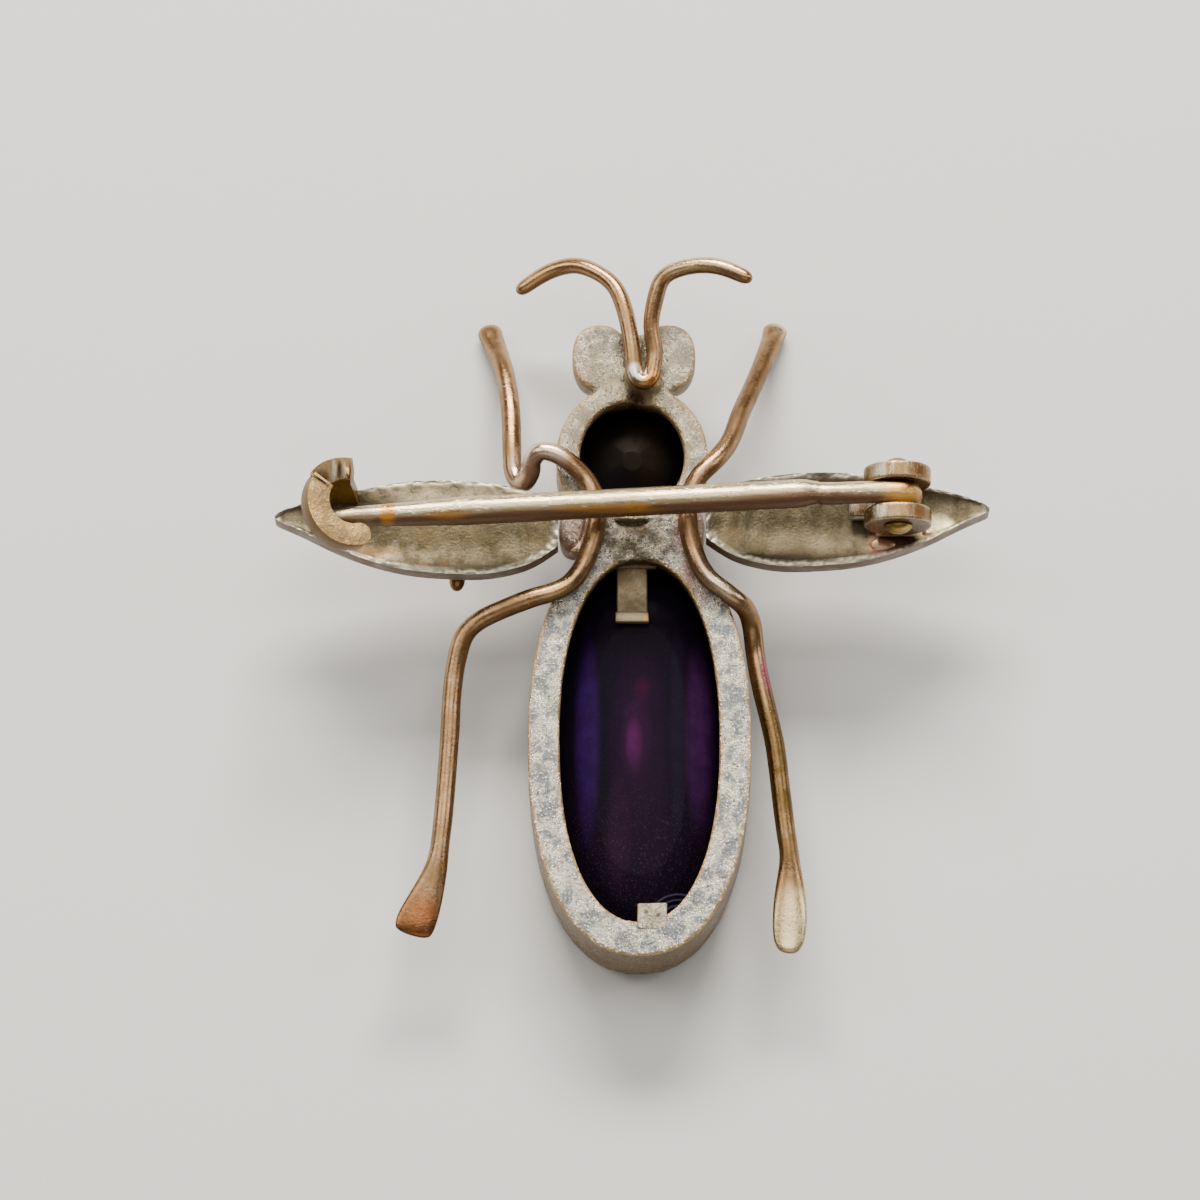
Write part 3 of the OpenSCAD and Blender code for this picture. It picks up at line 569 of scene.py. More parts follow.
def turned_disc(bm, centre, thick, radius, worn, count):
    """A disc with worn edges, turned about the brooch's long direction; centre is its middle."""
    x, y, z = centre
    end = [(-thick / 2, radius * 0.3), (-thick / 2, radius * 0.7), (-thick / 2, radius - worn - 0.1)]
    for step in range(4):
        a = math.radians(30 * step)
        end.append((-thick / 2 + worn * (1 - math.cos(a)), radius - worn + worn * math.sin(a)))
    middle = [(thick * t, radius) for t in (-0.22, 0.0, 0.22)]
    profile = end + middle + [(-t, r) for t, r in reversed(end)]
    sweep(bm, [((x, y + t, z), (0, 1, 0), r, r) for t, r in profile], (1, 0, 0), count)


def block(bm, low, high):
    """A box between two corners, in mm."""
    made = bmesh.ops.create_cube(bm, size=1)["verts"]
    low, high = Vector(low) * MM, Vector(high) * MM
    bmesh.ops.scale(bm, vec=high - low, verts=made)
    bmesh.ops.translate(bm, vec=(low + high) / 2, verts=made)
    return made


def blob(bm, place, radii):
    """A drop of solder, in mm."""
    made = bmesh.ops.create_uvsphere(bm, u_segments=14, v_segments=9, radius=1)["verts"]
    bmesh.ops.scale(bm, vec=Vector(radii) * MM, verts=made)
    bmesh.ops.translate(bm, vec=Vector(place) * MM, verts=made)


# The silver frame


def setting_wall(half_w, half_l, front, back, rim_w, rim_l, shift):
    """The section of a setting: a lip in front, a broad rim behind and a thin wall between them."""
    lip, lip_h, wall, rim_h = 1.0, 0.4, 0.55, 0.8
    return [
        (half_w - lip, half_l - lip, 0, front),
        (half_w, half_l, 0, front),
        (half_w, half_l, 0, back),
        (half_w - rim_w, half_l - rim_l, shift, back),
        (half_w - rim_w, half_l - rim_l, shift, back - rim_h),
        (half_w - wall, half_l - wall, 0, back - rim_h),
        (half_w - wall, half_l - wall, 0, front + lip_h),
        (half_w - lip, half_l - lip, 0, front + lip_h),
    ]


def cast_frame(bm):
    s = sizes()
    back, front = s.back_z / MM, s.front_z / MM
    half_w, half_l = s.abdomen_w / 2 / MM, s.abdomen_l / 2 / MM
    wall = setting_wall(half_w, half_l, front, back, rim_w=1.55, rim_l=1.55, shift=0.15)
    stack_rings(bm, (s.abdomen_x, s.abdomen_y), wall, power=2.25, count=128, closed=True)
    half_w, half_l = s.thorax_w / 2 / MM, s.thorax_l / 2 / MM
    wall = setting_wall(half_w, half_l, front + 0.6, back - 0.2, rim_w=1.18, rim_l=0.97, shift=0)
    stack_rings(bm, (0, s.thorax_y), wall, power=2.0, count=96, closed=True)


def link_plate(bm):
    """The hollowed plate that joins both settings at the waist."""
    s = sizes()
    top = s.back_z / MM
    near = s.thorax_y / MM - s.thorax_l / 2 / MM + 0.68
    far = (s.abdomen_y + s.abdomen_l / 2) / MM - 0.98
    made = bmesh.ops.create_grid(bm, x_segments=16, y_segments=12, size=1)["verts"]
    for v in made:
        t = (1 - v.co.y) / 2
        half = 2.3 + 0.9 * t ** 3
        hollow = 0.16 * (1 - v.co.x ** 2) * math.sin(math.pi * min(1, t * 1.15))
        v.co = Vector((v.co.x * half, near + (far - near) * t, top - hollow)) * MM
    faces = list({f for v in made for f in v.link_faces})
    grown = bmesh.ops.extrude_face_region(bm, geom=faces, use_keep_orig=True)["geom"]
    for v in (g for g in grown if isinstance(g, bmesh.types.BMVert)):
        v.co.z = (top - 1.0) * MM


def head_plates(bm):
    """The two closed eye plates, domed in front, and the bridge between them."""
    s = sizes()
    plate_w, plate_l, plate_h, middle_x = 2.75, 3.4, 3.3, 0.1
    top = s.back_z / MM - 0.3
    y = s.thorax_y / MM + s.thorax_l / 2 / MM + plate_l / 2 - 0.35
    dome = [(0.94, 0), (1, 0.06), (1, 0.3), (0.93, 0.55), (0.78, 0.77), (0.52, 0.93), (0.2, 1)]
    rows = [(plate_w / 2 * a, plate_l / 2 * a, 0, top - plate_h * b) for a, b in dome]
    for side in (-1, 1):
        centre = ((middle_x + side * 1.68) * MM, y * MM)
        stack_rings(bm, centre, rows, power=2.45, count=44, closed=False)
    block(bm, (middle_x - 1.36, y - 1.9, top - 1.5), (middle_x + 1.36, y + 1.3, top - 0.12))


def bell(off, width, power=2):
    """1 in the middle, falling to 0 past the width."""
    return math.exp(-(off / width) ** power)


# Stains and marks, with painted highlights and shade among them: x, y, half width, half length in mm,
# strength, colour
FRAME_MARKS_AND_SHADE = [
    (0.0, 9.5, 6.0, 7.0, 0.8, (0.3, 0.24, 0.135)), (0.2, 2.8, 3.0, 1.9, 1.0, (0.055, 0.042, 0.024)),
    (-2.9, 3.2, 1.3, 2.0, 0.8, (0.26, 0.13, 0.095)), (2.9, 3.4, 1.1, 1.7, 0.8, (0.3, 0.15, 0.11)),
    # The notch row is a painted shadow under the antennae's bend.
    (0.25, 10.4, 0.6, 0.6, 0.9, (0.07, 0.03, 0.012)),
]
FRAME_STAINS_AND_LIGHT = [
    (2.9, 0.8, 1.1, 1.9, 0.8, (0.54, 0.27, 0.2)), (0.0, 1.75, 2.0, 0.35, 0.7, (0.2, 0.08, 0.02)),
    # A painted shadow in the notch under the antennae's bend.
    (0.25, 10.4, 0.7, 0.7, 1.0, (0.1, 0.045, 0.018)),
    (0.55, 10.75, 0.3, 0.25, 1.0, (0.7, 0.24, 0.06)), (-2.4, 11.6, 0.5, 0.6, 0.7, (0.6, 0.32, 0.2)),
    # (0.22, 11.5) is a painted highlight on the solder at the left antenna's end.
    (0.22, 11.5, 0.6, 0.5, 1.0, (1.0, 0.93, 0.8)), (1.05, 11.1, 0.5, 0.45, 1.0, (0.95, 0.36, 0.08)),
    # (0.1, 12.9) is painted shade in the valley between the eye plates.
    (0.1, 12.9, 0.95, 1.8, 0.8, (0.2, 0.15, 0.08)), (-2.6, 9.9, 0.6, 0.5, 0.8, (0.15, 0.1, 0.05)),
    (2.7, 9.9, 0.6, 0.5, 0.8, (0.15, 0.1, 0.05)),
]


class BROOCH_OT_frame(bpy.types.Operator):
    """Cast the silver frame that holds both stones, with its head and waist"""

    bl_idname = "brooch.frame"
    bl_label = "Silver frame"

    def execute(self, context):
        s, c = sizes(), colours()
        bm = bmesh.new()
        cast_frame(bm)
        link_plate(bm)
        head_plates(bm)
        shoulder = [(0.9, 2.6), (1, 2.8), (1, 4.15), (0.94, 4.4), (0.8, 4.6), (0.5, 4.72)]
        rows = [(0.85 * a, 1.15 * a, 0, z) for a, z in shoulder]
        for side in (-1, 1):
            centre = (side * 2.75 * MM, 3.77 * MM)
            stack_rings(bm, centre, rows, power=2.6, count=32, closed=False)
        block(bm, (-3.2, 2.9, 2.6), (3.2, 4.7, 4.3))
        blob(bm, (0.22, 11.45, 5.1), (0.6, 0.55, 0.48))
        blob(bm, (1.0, 11.1, 5.05), (0.5, 0.45, 0.42))
        bmesh.ops.recalc_face_normals(bm, faces=bm.faces)
        silver = silver_finish("worn silver", c.silver, (0.2, 0.21, 0.215), (0.14, 0.08, 0.018),
            edge=(0.66, 0.4, 0.15), crumbs=1.0, depth=0.09 * MM, rough=0.28, mottle=0.45,
            patch_scale=1300.0, dusky=(0.27, 0.24, 0.19), marks_and_lights=FRAME_MARKS_AND_SHADE, stains_and_lights=FRAME_STAINS_AND_LIGHT)
        piece = finish_piece("silver_frame", bm, "brooch", [silver], ["body_frame"])
        remesh = piece.modifiers.new("cast", "REMESH")
        remesh.mode = "VOXEL"
        remesh.voxel_size = s.solder_voxel
        soft = piece.modifiers.new("worn", "SMOOTH")
        soft.factor, soft.iterations = 0.5, 2
        bake_modifiers(piece)
        self.shape(piece)
        paint_wear(piece, low=0.25, high=0.8, depth=0.04, reach=0.07)
        return {"FINISHED"}

    def shape(self, piece):
        """The notch in the thorax rim, the groove at the waist, and the beaten surface."""
        bm = bmesh.new()
        bm.from_mesh(piece.data)
        bm.normal_update()
        for v in bm.verts:
            place = v.co / MM
            x, y, z = place
            v.co += v.normal * (noise.noise(place * 0.9) * 0.014 + noise.noise(place * 2.6) * 0.01) * MM
            if z > 3.6:
                notch = bell(x - 0.38, 0.42) * bell(y - 10.35, 0.5)
                round_rim = math.hypot(x / 3.42, (y - 7.39) / 3.5)
                groove = bell(round_rim - 1.0, 0.035) * bell(x, 0.75, 4) * (1 if y < 6 else 0)
                dip = bell(x - 0.1, 0.8) * bell(y - 13.2, 1.3, 4)
                v.co.z -= (0.75 * notch + 0.4 * groove + 0.3 * dip) * MM
        bm.to_mesh(piece.data)
        bm.free()


class BROOCH_OT_tabs(bpy.types.Operator):
    """Lay the two tabs that hold the long stone from behind"""

    bl_idname = "brooch.tabs"
    bl_label = "Tabs"

    def execute(self, context):
        s = sizes()
        edge = (s.abdomen_y + s.abdomen_l / 2) / MM - 1.4
        z = s.back_z / MM - 1.1
        bm = bmesh.new()
        block(bm, (-0.75, edge - 2.95, z), (0.75, edge + 1.1, z + 0.3))
        block(bm, (-0.82, edge - 2.95, z + 0.12), (0.82, edge - 2.4, z + 0.46))
        block(bm, (-1.2, edge - 0.2, z - 0.02), (1.2, edge + 1.1, z + 0.42))
        wear_edges(bm, 0.09 * MM)
        waver(bm, depth=0.03 * MM, pitch=0.5 * MM, seed=3)
        stains_and_lights = [
            (0.0, edge - 2.7, 1.2, 0.4, 0.9, (0.5, 0.42, 0.28)),
            (0.75, edge - 2.8, 0.3, 0.3, 0.9, (0.85, 0.4, 0.1)),
            # Painted shadow where the upper tab runs in under the rim.
            (0.0, edge + 0.2, 2.6, 1.1, 1.0, (0.06, 0.03, 0.012)),
        ]
        # The upper tab lies deeper than the rim and is painted dark for the shade there.
        upper = silver_finish("shaded tab", (0.12, 0.098, 0.058), (0.07, 0.052, 0.03),
            (0.12, 0.07, 0.025), edge=(0.66, 0.5, 0.28), crumbs=0.25, depth=0.05 * MM, rough=0.42,
            stains_and_lights=stains_and_lights)
        paint_wear(finish_piece("upper_tab", bm, "brooch", [upper], ["body_frame"]))
        low = (s.abdomen_y - s.abdomen_l / 2) / MM + 1.7
        x = s.abdomen_x / MM + 0.6
        top = s.back_z / MM
        bm = bmesh.new()
        block(bm, (x - 0.7, low - 0.35, top - 0.26), (x + 0.7, low + 0.9, top + 0.05))
        bmesh.ops.subdivide_edges(bm, edges=bm.edges, cuts=4, use_grid_fill=True)
        wear_edges(bm, 0.07 * MM)
        waver(bm, depth=0.06 * MM, pitch=0.5 * MM, seed=7)
        pits = [(x - 0.3, low + 0.45, 0.16, 0.16, 1.0, (0.04, 0.03, 0.02)),
            (x + 0.3, low + 0.3, 0.14, 0.14, 1.0, (0.04, 0.03, 0.02))]
        bright = silver_finish("bright tab", (1.0, 0.92, 0.72), (0.62, 0.55, 0.38), (0.32, 0.21, 0.08),
            crumbs=1.0, depth=0.16 * MM, rough=0.32, warm_share=0.05, mottle=0.5, stains_and_lights=pits)
        paint_wear(finish_piece("lower_tab", bm, "brooch", [bright], ["body_frame"]))
        return {"FINISHED"}


VIOLET_GLOW = [
    (-2.2, -6.5, 0.75, 6.5, 1.0, (0.02, 0.004, 0.056)),
    (3.3, -6.5, 0.9, 6.0, 1.0, (0.034, 0.008, 0.046)),
    (0.3, -6.9, 1.9, 5.5, 0.9, (0.016, 0.005, 0.02)),
    (0.2, -6.9, 0.9, 3.0, 0.7, (0.036, 0.007, 0.036)),
    (0.1, -7.0, 0.5, 1.7, 0.9, (0.08, 0.01, 0.072)),
    (0.5, -4.2, 0.5, 0.8, 0.8, (0.036, 0.004, 0.018)),
    (0.5, -10.5, 1.7, 4.5, 0.7, (0.012, 0.005, 0.014)),
    (-0.7, -11.5, 0.8, 3.5, 0.8, (0.022, 0.007, 0.018)),
    (-1.3, -6.5, 0.3, 6.5, 0.7, (0.004, 0.003, 0.008)),
    (2.2, -6.5, 0.45, 6.5, 0.7, (0.01, 0.009, 0.02)),
]
SMOKY_GLOW = [(-1.0, 6.2, 1.2, 1.4, 0.8, (0.007, 0.006, 0.008)),
    (0.6, 8.0, 1.6, 2.0, 0.8, (0.013, 0.008, 0.004))]


class BROOCH_OT_stones(bpy.types.Operator):
    """Cut both stones and give them their colour"""

    bl_idname = "brooch.stones"
    bl_label = "Stones"

    def execute(self, context):
        c = colours()
        arcs = [(2.4, -16.2, radius) for radius in (1.3, 1.55, 1.8)]
        violet = stone_finish("violet stone", c.amethyst, VIOLET_GLOW, specks=0.7, speck_from=-8.0,
            speck_to=-13.0, arcs=arcs)
        smoky = stone_finish("smoky stone", c.smoky, SMOKY_GLOW, specks=0.1, speck_from=4.0,
            speck_to=11.0)
        rows = (("long_stone", "abdomen_stone", "violet_stone", violet, 0.1),
            ("round_stone", "thorax_stone", "dark_stone", smoky, 0.06))
        for name, node, slot, material, width in rows:
            bm = cad_bmesh(node)
            wear_edges(bm, width * MM, segments=2, degrees=6)
            finish_piece(name, bm, "brooch", [material], [node])
        return {"FINISHED"}


WING_STAINS_AND_HIGHLIGHT = [
    (-16.3, 3.5, 1.4, 0.8, 0.9, (0.15, 0.13, 0.07)), (-13.0, 2.2, 2.0, 0.5, 0.35, (0.34, 0.17, 0.07)),
    # (14.7, 3.5) is a painted highlight on the right wing's edge.
    (12.5, 2.6, 1.2, 0.9, 0.9, (0.48, 0.22, 0.12)), (14.7, 3.5, 1.3, 0.9, 1.0, (1.0, 0.84, 0.5)),
    (-8.8, 5.6, 6.5, 1.1, 1.0, (0.95, 0.8, 0.5)), (-4.7, 3.2, 0.9, 1.3, 0.6, (0.2, 0.15, 0.08)),
    (4.7, 3.4, 0.9, 1.3, 0.6, (0.22, 0.16, 0.08)), (8.0, 2.6, 3.2, 1.0, 0.8, (0.19, 0.15, 0.085)),
    (-9.0, 3.2, 3.5, 0.7, 0.7, (0.22, 0.165, 0.08)),
]


class BROOCH_OT_wings(bpy.types.Operator):
    """Beat out both wings"""

    bl_idname = "brooch.wings"
    bl_label = "Wings"

    def execute(self, context):
        silver = silver_finish("wing silver", (0.135, 0.109, 0.063), (0.085, 0.067, 0.036),
            (0.12, 0.058, 0.014), edge=(1.0, 0.92, 0.7), crumbs=0.1, depth=0.035 * MM, rough=0.4,
            mottle=0.3, stains_and_lights=WING_STAINS_AND_HIGHLIGHT)
        for side, node in ((-1, "wing_left"), (1, "wing_right")):
            bm = cad_bmesh(node)
            join_quads(bm, 40)
            bmesh.ops.bevel(bm, geom=sharp_edges(bm, 42), offset=0.07 * MM, offset_type="OFFSET",
                segments=2, profile=0.5, affect="EDGES", material=-1, clamp_overlap=True)
            piece = finish_piece(node.replace("wing", "silver_wing"), bm, "brooch", [silver],
                [node])
            subdivide(piece, "beaten", 2)
            rims = self.beat(piece, side)
            paint_wear(piece, low=0.15, high=0.6, depth=0.05, reach=0.14)
            layer = piece.data.attributes["edge"]
            layer.data.foreach_set("value", [max(e.value, r) for e, r in zip(layer.data, rims)])
        return {"FINISHED"}

    def beat(self, piece, side):
        """The hollow gets shallower, with hammer marks across it and a bumpy rim. Gives back how
        rubbed each point is."""
        top = max(v.co.z for v in piece.data.vertices) / MM
        facing = [n.vector.z for n in piece.data.vertex_normals]
        rims = []
        for v, up in zip(piece.data.vertices, facing):
            x, y, z = v.co / MM
            rim = max(0.0, 1 - (top - z) / 0.05) if up > 0.3 else 0.0
            bumps = abs(noise.noise(Vector((x * 2.8, y * 2.8, side * 2))))
            rims.append(min(1.0, rim * (0.35 + 2.4 * bumps)) * (1.0 if y < 3.4 else 0.5))
            if z > top - 0.6 and up > 0.3:
                blows = noise.noise(Vector((x * 1.7, y * 0.4, side * 4))) * 0.055
                dents = noise.noise(Vector((x * 3.2, y * 1.6, side * 9))) * 0.014
                v.co.z = (top - 0.05 - (top - z) * 0.75 + (blows + dents) + rim * bumps * 0.2) * MM
        return rims


WIRE_STAINS_AND_LIGHT = [
    # (8.0, -16.2) is a painted highlight on the right foot.
    (-10.4, -15.9, 1.6, 1.8, 1.0, (0.26, 0.08, 0.025)), (8.0, -16.2, 1.6, 2.4, 1.0, (1.0, 0.8, 0.44)),
    (-9.5, 0.3, 1.8, 1.8, 0.95, (0.26, 0.1, 0.015)), (-10.8, -6.5, 2.2, 9.0, 0.9, (0.27, 0.175, 0.08)),
    (-3.2, 2.8, 0.8, 2.2, 0.6, (0.46, 0.24, 0.06)), (-7.0, 10.2, 1.3, 1.5, 0.8, (0.4, 0.19, 0.11)),
    (-8.6, 13.8, 1.6, 2.6, 0.8, (0.95, 0.6, 0.34)), (7.6, -7.0, 2.2, 7.5, 1.0, (0.1, 0.062, 0.013)),
    (5.6, 11.6, 3.0, 3.8, 1.0, (0.21, 0.115, 0.048)), (8.0, 15.6, 1.2, 1.4, 0.9, (0.95, 0.72, 0.42)),
    # (-4.6, 7.0) is a painted highlight on the left loop.
    (-4.6, 7.0, 1.7, 1.9, 1.0, (1.0, 0.78, 0.62)), (-3.9, 0.6, 1.2, 1.0, 0.8, (0.85, 0.52, 0.22)),
    (4.6, 1.4, 1.6, 2.2, 0.8, (0.85, 0.7, 0.52)), (-4.0, 17.0, 3.5, 1.4, 0.7, (0.8, 0.46, 0.21)),
    # (0.22, 11.5) is a painted highlight on the solder at the left antenna's end.
    (3.4, 17.0, 3.5, 1.2, 0.8, (0.95, 0.7, 0.36)), (0.22, 11.5, 0.7, 0.55, 1.0, (1.0, 0.95, 0.84)),
    # (6.9, -3.2) is painted violet light from the long stone, reflected on the right leg.
    (1.05, 11.15, 0.5, 0.5, 1.0, (1.0, 0.38, 0.08)), (6.9, -3.2, 0.8, 1.6, 0.9, (0.5, 0.08, 0.2)),
]


class BROOCH_OT_wires(bpy.types.Operator):
    """Bend the wires of the antennae and legs"""

    bl_idname = "brooch.wires"
    bl_label = "Wires"

    def execute(self, context):
        c = colours()
        rose = gold_finish("rose gold wire", c.rose_gold, (0.27, 0.15, 0.055), (0.1, 0.042, 0.01),
            shine=0.22, pits=0.05, stains_and_lights=WIRE_STAINS_AND_LIGHT)
        rows = (("antenna_wire", "antennae"), ("left_leg_wire", "leg_wire_left"),
            ("right_leg_wire", "leg_wire_right"), ("middle_leg_stub", "middle_leg"))
        for number, (name, node) in enumerate(rows):
            bm = cad_bmesh(node)
            join_quads(bm, 50)
            waver(bm, depth=0.03 * MM, pitch=1.4 * MM, seed=number + 2)
            piece = finish_piece(name, bm, "brooch", [rose], [node])
            subdivide(piece, "drawn", 1)
            # The wires' undersides, turned away from the lamps, take painted shade.
            paint_wear(piece, (0, 0.25, 0.95), low=-0.1, high=0.8, depth=0.3, reach=0.3)
        return {"FINISHED"}


HOOK_CENTRE = (-13.8, 3.84, 0)
HOOK_FACE_Z = 8.2
CATCH_MARKS = [
    (-15.4, 5.3, 0.5, 0.7, 0.8, (0.055, 0.028, 0.008)),
    (-14.7, 6.0, 0.5, 0.4, 0.7, (0.24, 0.14, 0.036)), (-13.9, 6.3, 0.4, 0.4, 0.8, (0.05, 0.026, 0.008)),
    (-15.5, 3.6, 0.4, 0.7, 0.7, (0.21, 0.12, 0.03)), (-14.8, 2.5, 0.5, 0.4, 0.8, (0.06, 0.03, 0.008)),
    (-13.6, 2.0, 0.6, 0.3, 0.6, (0.2, 0.12, 0.03)),
]
# Painted highlights and shade on the post's cut facets: bright stripes and dark grooves.
FACET_HIGHLIGHTS_AND_SHADE = [
    (-15.1, 4.9, 0.5, 0.5, 1.0, (0.05, 0.025, 0.01)), (-14.5, 5.35, 0.17, 0.75, 1.0, (1.0, 0.92, 0.72)),
    (-14.25, 5.5, 0.12, 0.7, 1.0, (0.03, 0.015, 0.006)),
    (-14.02, 5.45, 0.14, 0.45, 1.0, (1.0, 0.96, 0.84)),
    (-13.75, 5.3, 0.16, 0.9, 1.0, (0.08, 0.035, 0.012)),
]


class BROOCH_OT_catch(bpy.types.Operator):
    """File up the hook of the catch and its post"""

    bl_idname = "brooch.catch"
    bl_label = "Catch"

    def execute(self, context):
        s, c = sizes(), colours()
        gold = gold_finish("filed gold", c.old_gold, (0.13, 0.065, 0.012), (0.17, 0.088, 0.014),
            dull=0.75, shine=0.26, rubs=0.2, bright=(1.0, 0.66, 0.2), marks_and_lights=CATCH_MARKS)
        face = silver_finish("filed face", (0.66, 0.42, 0.17), (0.42, 0.26, 0.105), (0.3, 0.15, 0.03),
            crumbs=0.45, depth=0.07 * MM, rough=0.38, mottle=0.5)
        facets = gold_finish("cut facets", (0.46, 0.3, 0.14), (0.24, 0.14, 0.05), (0.24, 0.11, 0.03),
            shine=0.16, rubs=0.3, depth=0.02 * MM, run=(4.0, 1.0, 1.0), marks_and_lights=FACET_HIGHLIGHTS_AND_SHADE)
        worn_gold = gold_finish("rubbed gold edge", (0.9, 0.45, 0.04), (0.6, 0.28, 0.02),
            (0.8, 0.38, 0.03), dull=0.6, shine=0.2, rubs=0.2, bright=(0.95, 0.5, 0.08))
        bm = cad_bmesh("catch")
        worn = wear_edges(bm, s.wear_bevel)
        bm.normal_update()
        for f in bm.faces:
            p, n = f.calc_center_median() / MM, f.normal
            high = p.z > HOOK_FACE_Z
            cut = high and n.z > 0.35 and p.y > 4.4
            f.material_index = 1 if high and n.z > 0.9 else 2 if cut else 0
        middle = Vector(HOOK_CENTRE) * MM
        for f in worn:
            if f.is_valid and f.normal.z > 0.1:
                out = (f.calc_center_median() - middle).xy.dot(f.normal.xy) > 0
                f.material_index = 3 if out else f.material_index
        piece = finish_piece("hook_catch", bm, "brooch", [gold, face, facets, worn_gold],
            ["catch"])
        paint_wear(piece, low=0.2, high=0.8, depth=5, reach=1)
        piece.modifiers.new("flat faces", "WEIGHTED_NORMAL").keep_sharp = True
        return {"FINISHED"}


class BROOCH_OT_hinge(bpy.types.Operator):
    """Build the hinge's ears and base, and rivet them"""

    bl_idname = "brooch.hinge"
    bl_label = "Hinge"

    def execute(self, context):
        c = colours()
        low, high = (Vector(corner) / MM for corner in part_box("hinge"))
        rivet_low, rivet_high = (Vector(corner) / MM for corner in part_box("hinge_rivet"))
        x, axis_z = (rivet_low.x + rivet_high.x) / 2, (rivet_low.z + rivet_high.z) / 2
        y = (low.y + high.y) / 2
        ear_r = high.x - x
        thick = 0.85
        stains_and_lights = [
            (low.x + 0.3, y - 0.3, 0.9, 1.0, 1.0, (0.16, 0.07, 0.035)),
            # The next two rows paint a highlight on the ears' rounded left side and shade on their
            # right side.
            (x - 0.95, y, 0.5, 3.0, 0.7, (1.0, 0.88, 0.66)),
            (x + 1.15, y, 0.8, 3.0, 1.0, (0.17, 0.075, 0.02)),
            (x + 0.1, y, 0.5, 3.0, 0.6, (0.4, 0.24, 0.1)),
        ]
        brown = gold_finish("tarnished gold", c.brown_gold, (0.15, 0.08, 0.03), (0.12, 0.05, 0.012),
            shine=0.18, rubs=0.4, bright=(1.0, 0.84, 0.58), depth=0.035 * MM, crumbs=0.5,
            run=(2.5, 0.6, 1.0), stains_and_lights=stains_and_lights)
        bm = bmesh.new()
        feet = []
        for side in (-1, 1):
            middle = y + side * ((high.y - low.y) / 2 - thick / 2)
            turned_disc(bm, (x, middle, high.z - ear_r), thick, ear_r, worn=0.12, count=72)
            feet += block(bm, (x - 1.0, middle - thick / 2 + 0.04, low.z),
                (x + 1.0, middle + thick / 2 - 0.04, high.z - ear_r))
        feet += block(bm, (low.x, y - 0.62, low.z), (x + 1.0, y + 0.62, low.z + 0.3))
        bmesh.ops.subdivide_edges(bm, edges=list({e for v in feet for e in v.link_edges}), cuts=5,
            use_grid_fill=True)
        bmesh.ops.recalc_face_normals(bm, faces=bm.faces)
        ears = finish_piece("hinge_ears", bm, "brooch", [brown], ["hinge"])
        # The ears' lower sides take painted shade.
        paint_wear(ears, (0, 0.3, 0.95), low=-0.25, high=0.3, depth=0.05, reach=0.15)
        ears.modifiers.new("flat faces", "WEIGHTED_NORMAL").keep_sharp = True
        olive = gold_finish("rivet metal", (0.32, 0.2, 0.045), (0.2, 0.12, 0.028), (0.12, 0.06, 0.008),
            shine=0.28, rubs=0.1)
        bm = bmesh.new()
        radius = (rivet_high.z - rivet_low.z) / 2
        profile = [(0.0, 0.15), (0.02, 0.38), (0.09, 0.62), (0.2, 0.84), (0.32, 0.97), (0.4, 1.0)]
        rows = [(rivet_low.y + t, radius * r) for t, r in profile]
        rows += [(rivet_low.y + 0.41, radius * 0.5), (rivet_high.y - 0.41, radius * 0.5)]
        rows += [(rivet_high.y - t, radius * r) for t, r in reversed(profile)]
        sweep(bm, [((x, place, axis_z), (0, 1, 0), r, r) for place, r in rows], (1, 0, 0), 40)
        bmesh.ops.recalc_face_normals(bm, faces=bm.faces)
        rivet = finish_piece("rivet", bm, "brooch", [olive], ["hinge_rivet"])
        paint_wear(rivet, (0, 0, 1), low=-0.3, high=0.6, depth=0.4)
        return {"FINISHED"}


PIN_MARKS = [
    (-11.9, 3.5, 0.55, 0.8, 1.0, (0.5, 0.2, 0.01)), (-13.2, 3.4, 0.9, 0.7, 0.8, (0.26, 0.2, 0.13)),
    (-1.2, 3.62, 3.4, 0.22, 0.8, (0.34, 0.14, 0.012)), (0.2, 3.75, 0.9, 0.26, 0.7, (0.46, 0.19, 0.012)),
    (-9.0, 3.35, 1.4, 0.3, 0.8, (0.36, 0.16, 0.02)), (13.4, 4.4, 1.5, 0.9, 1.0, (0.6, 0.3, 0.05)),
]
PIN_STAINS = [
    (8.6, 4.2, 4.0, 0.5, 0.9, (0.4, 0.22, 0.12)), (2.0, 3.8, 9.0, 0.25, 0.7, (0.46, 0.3, 0.16)),
]


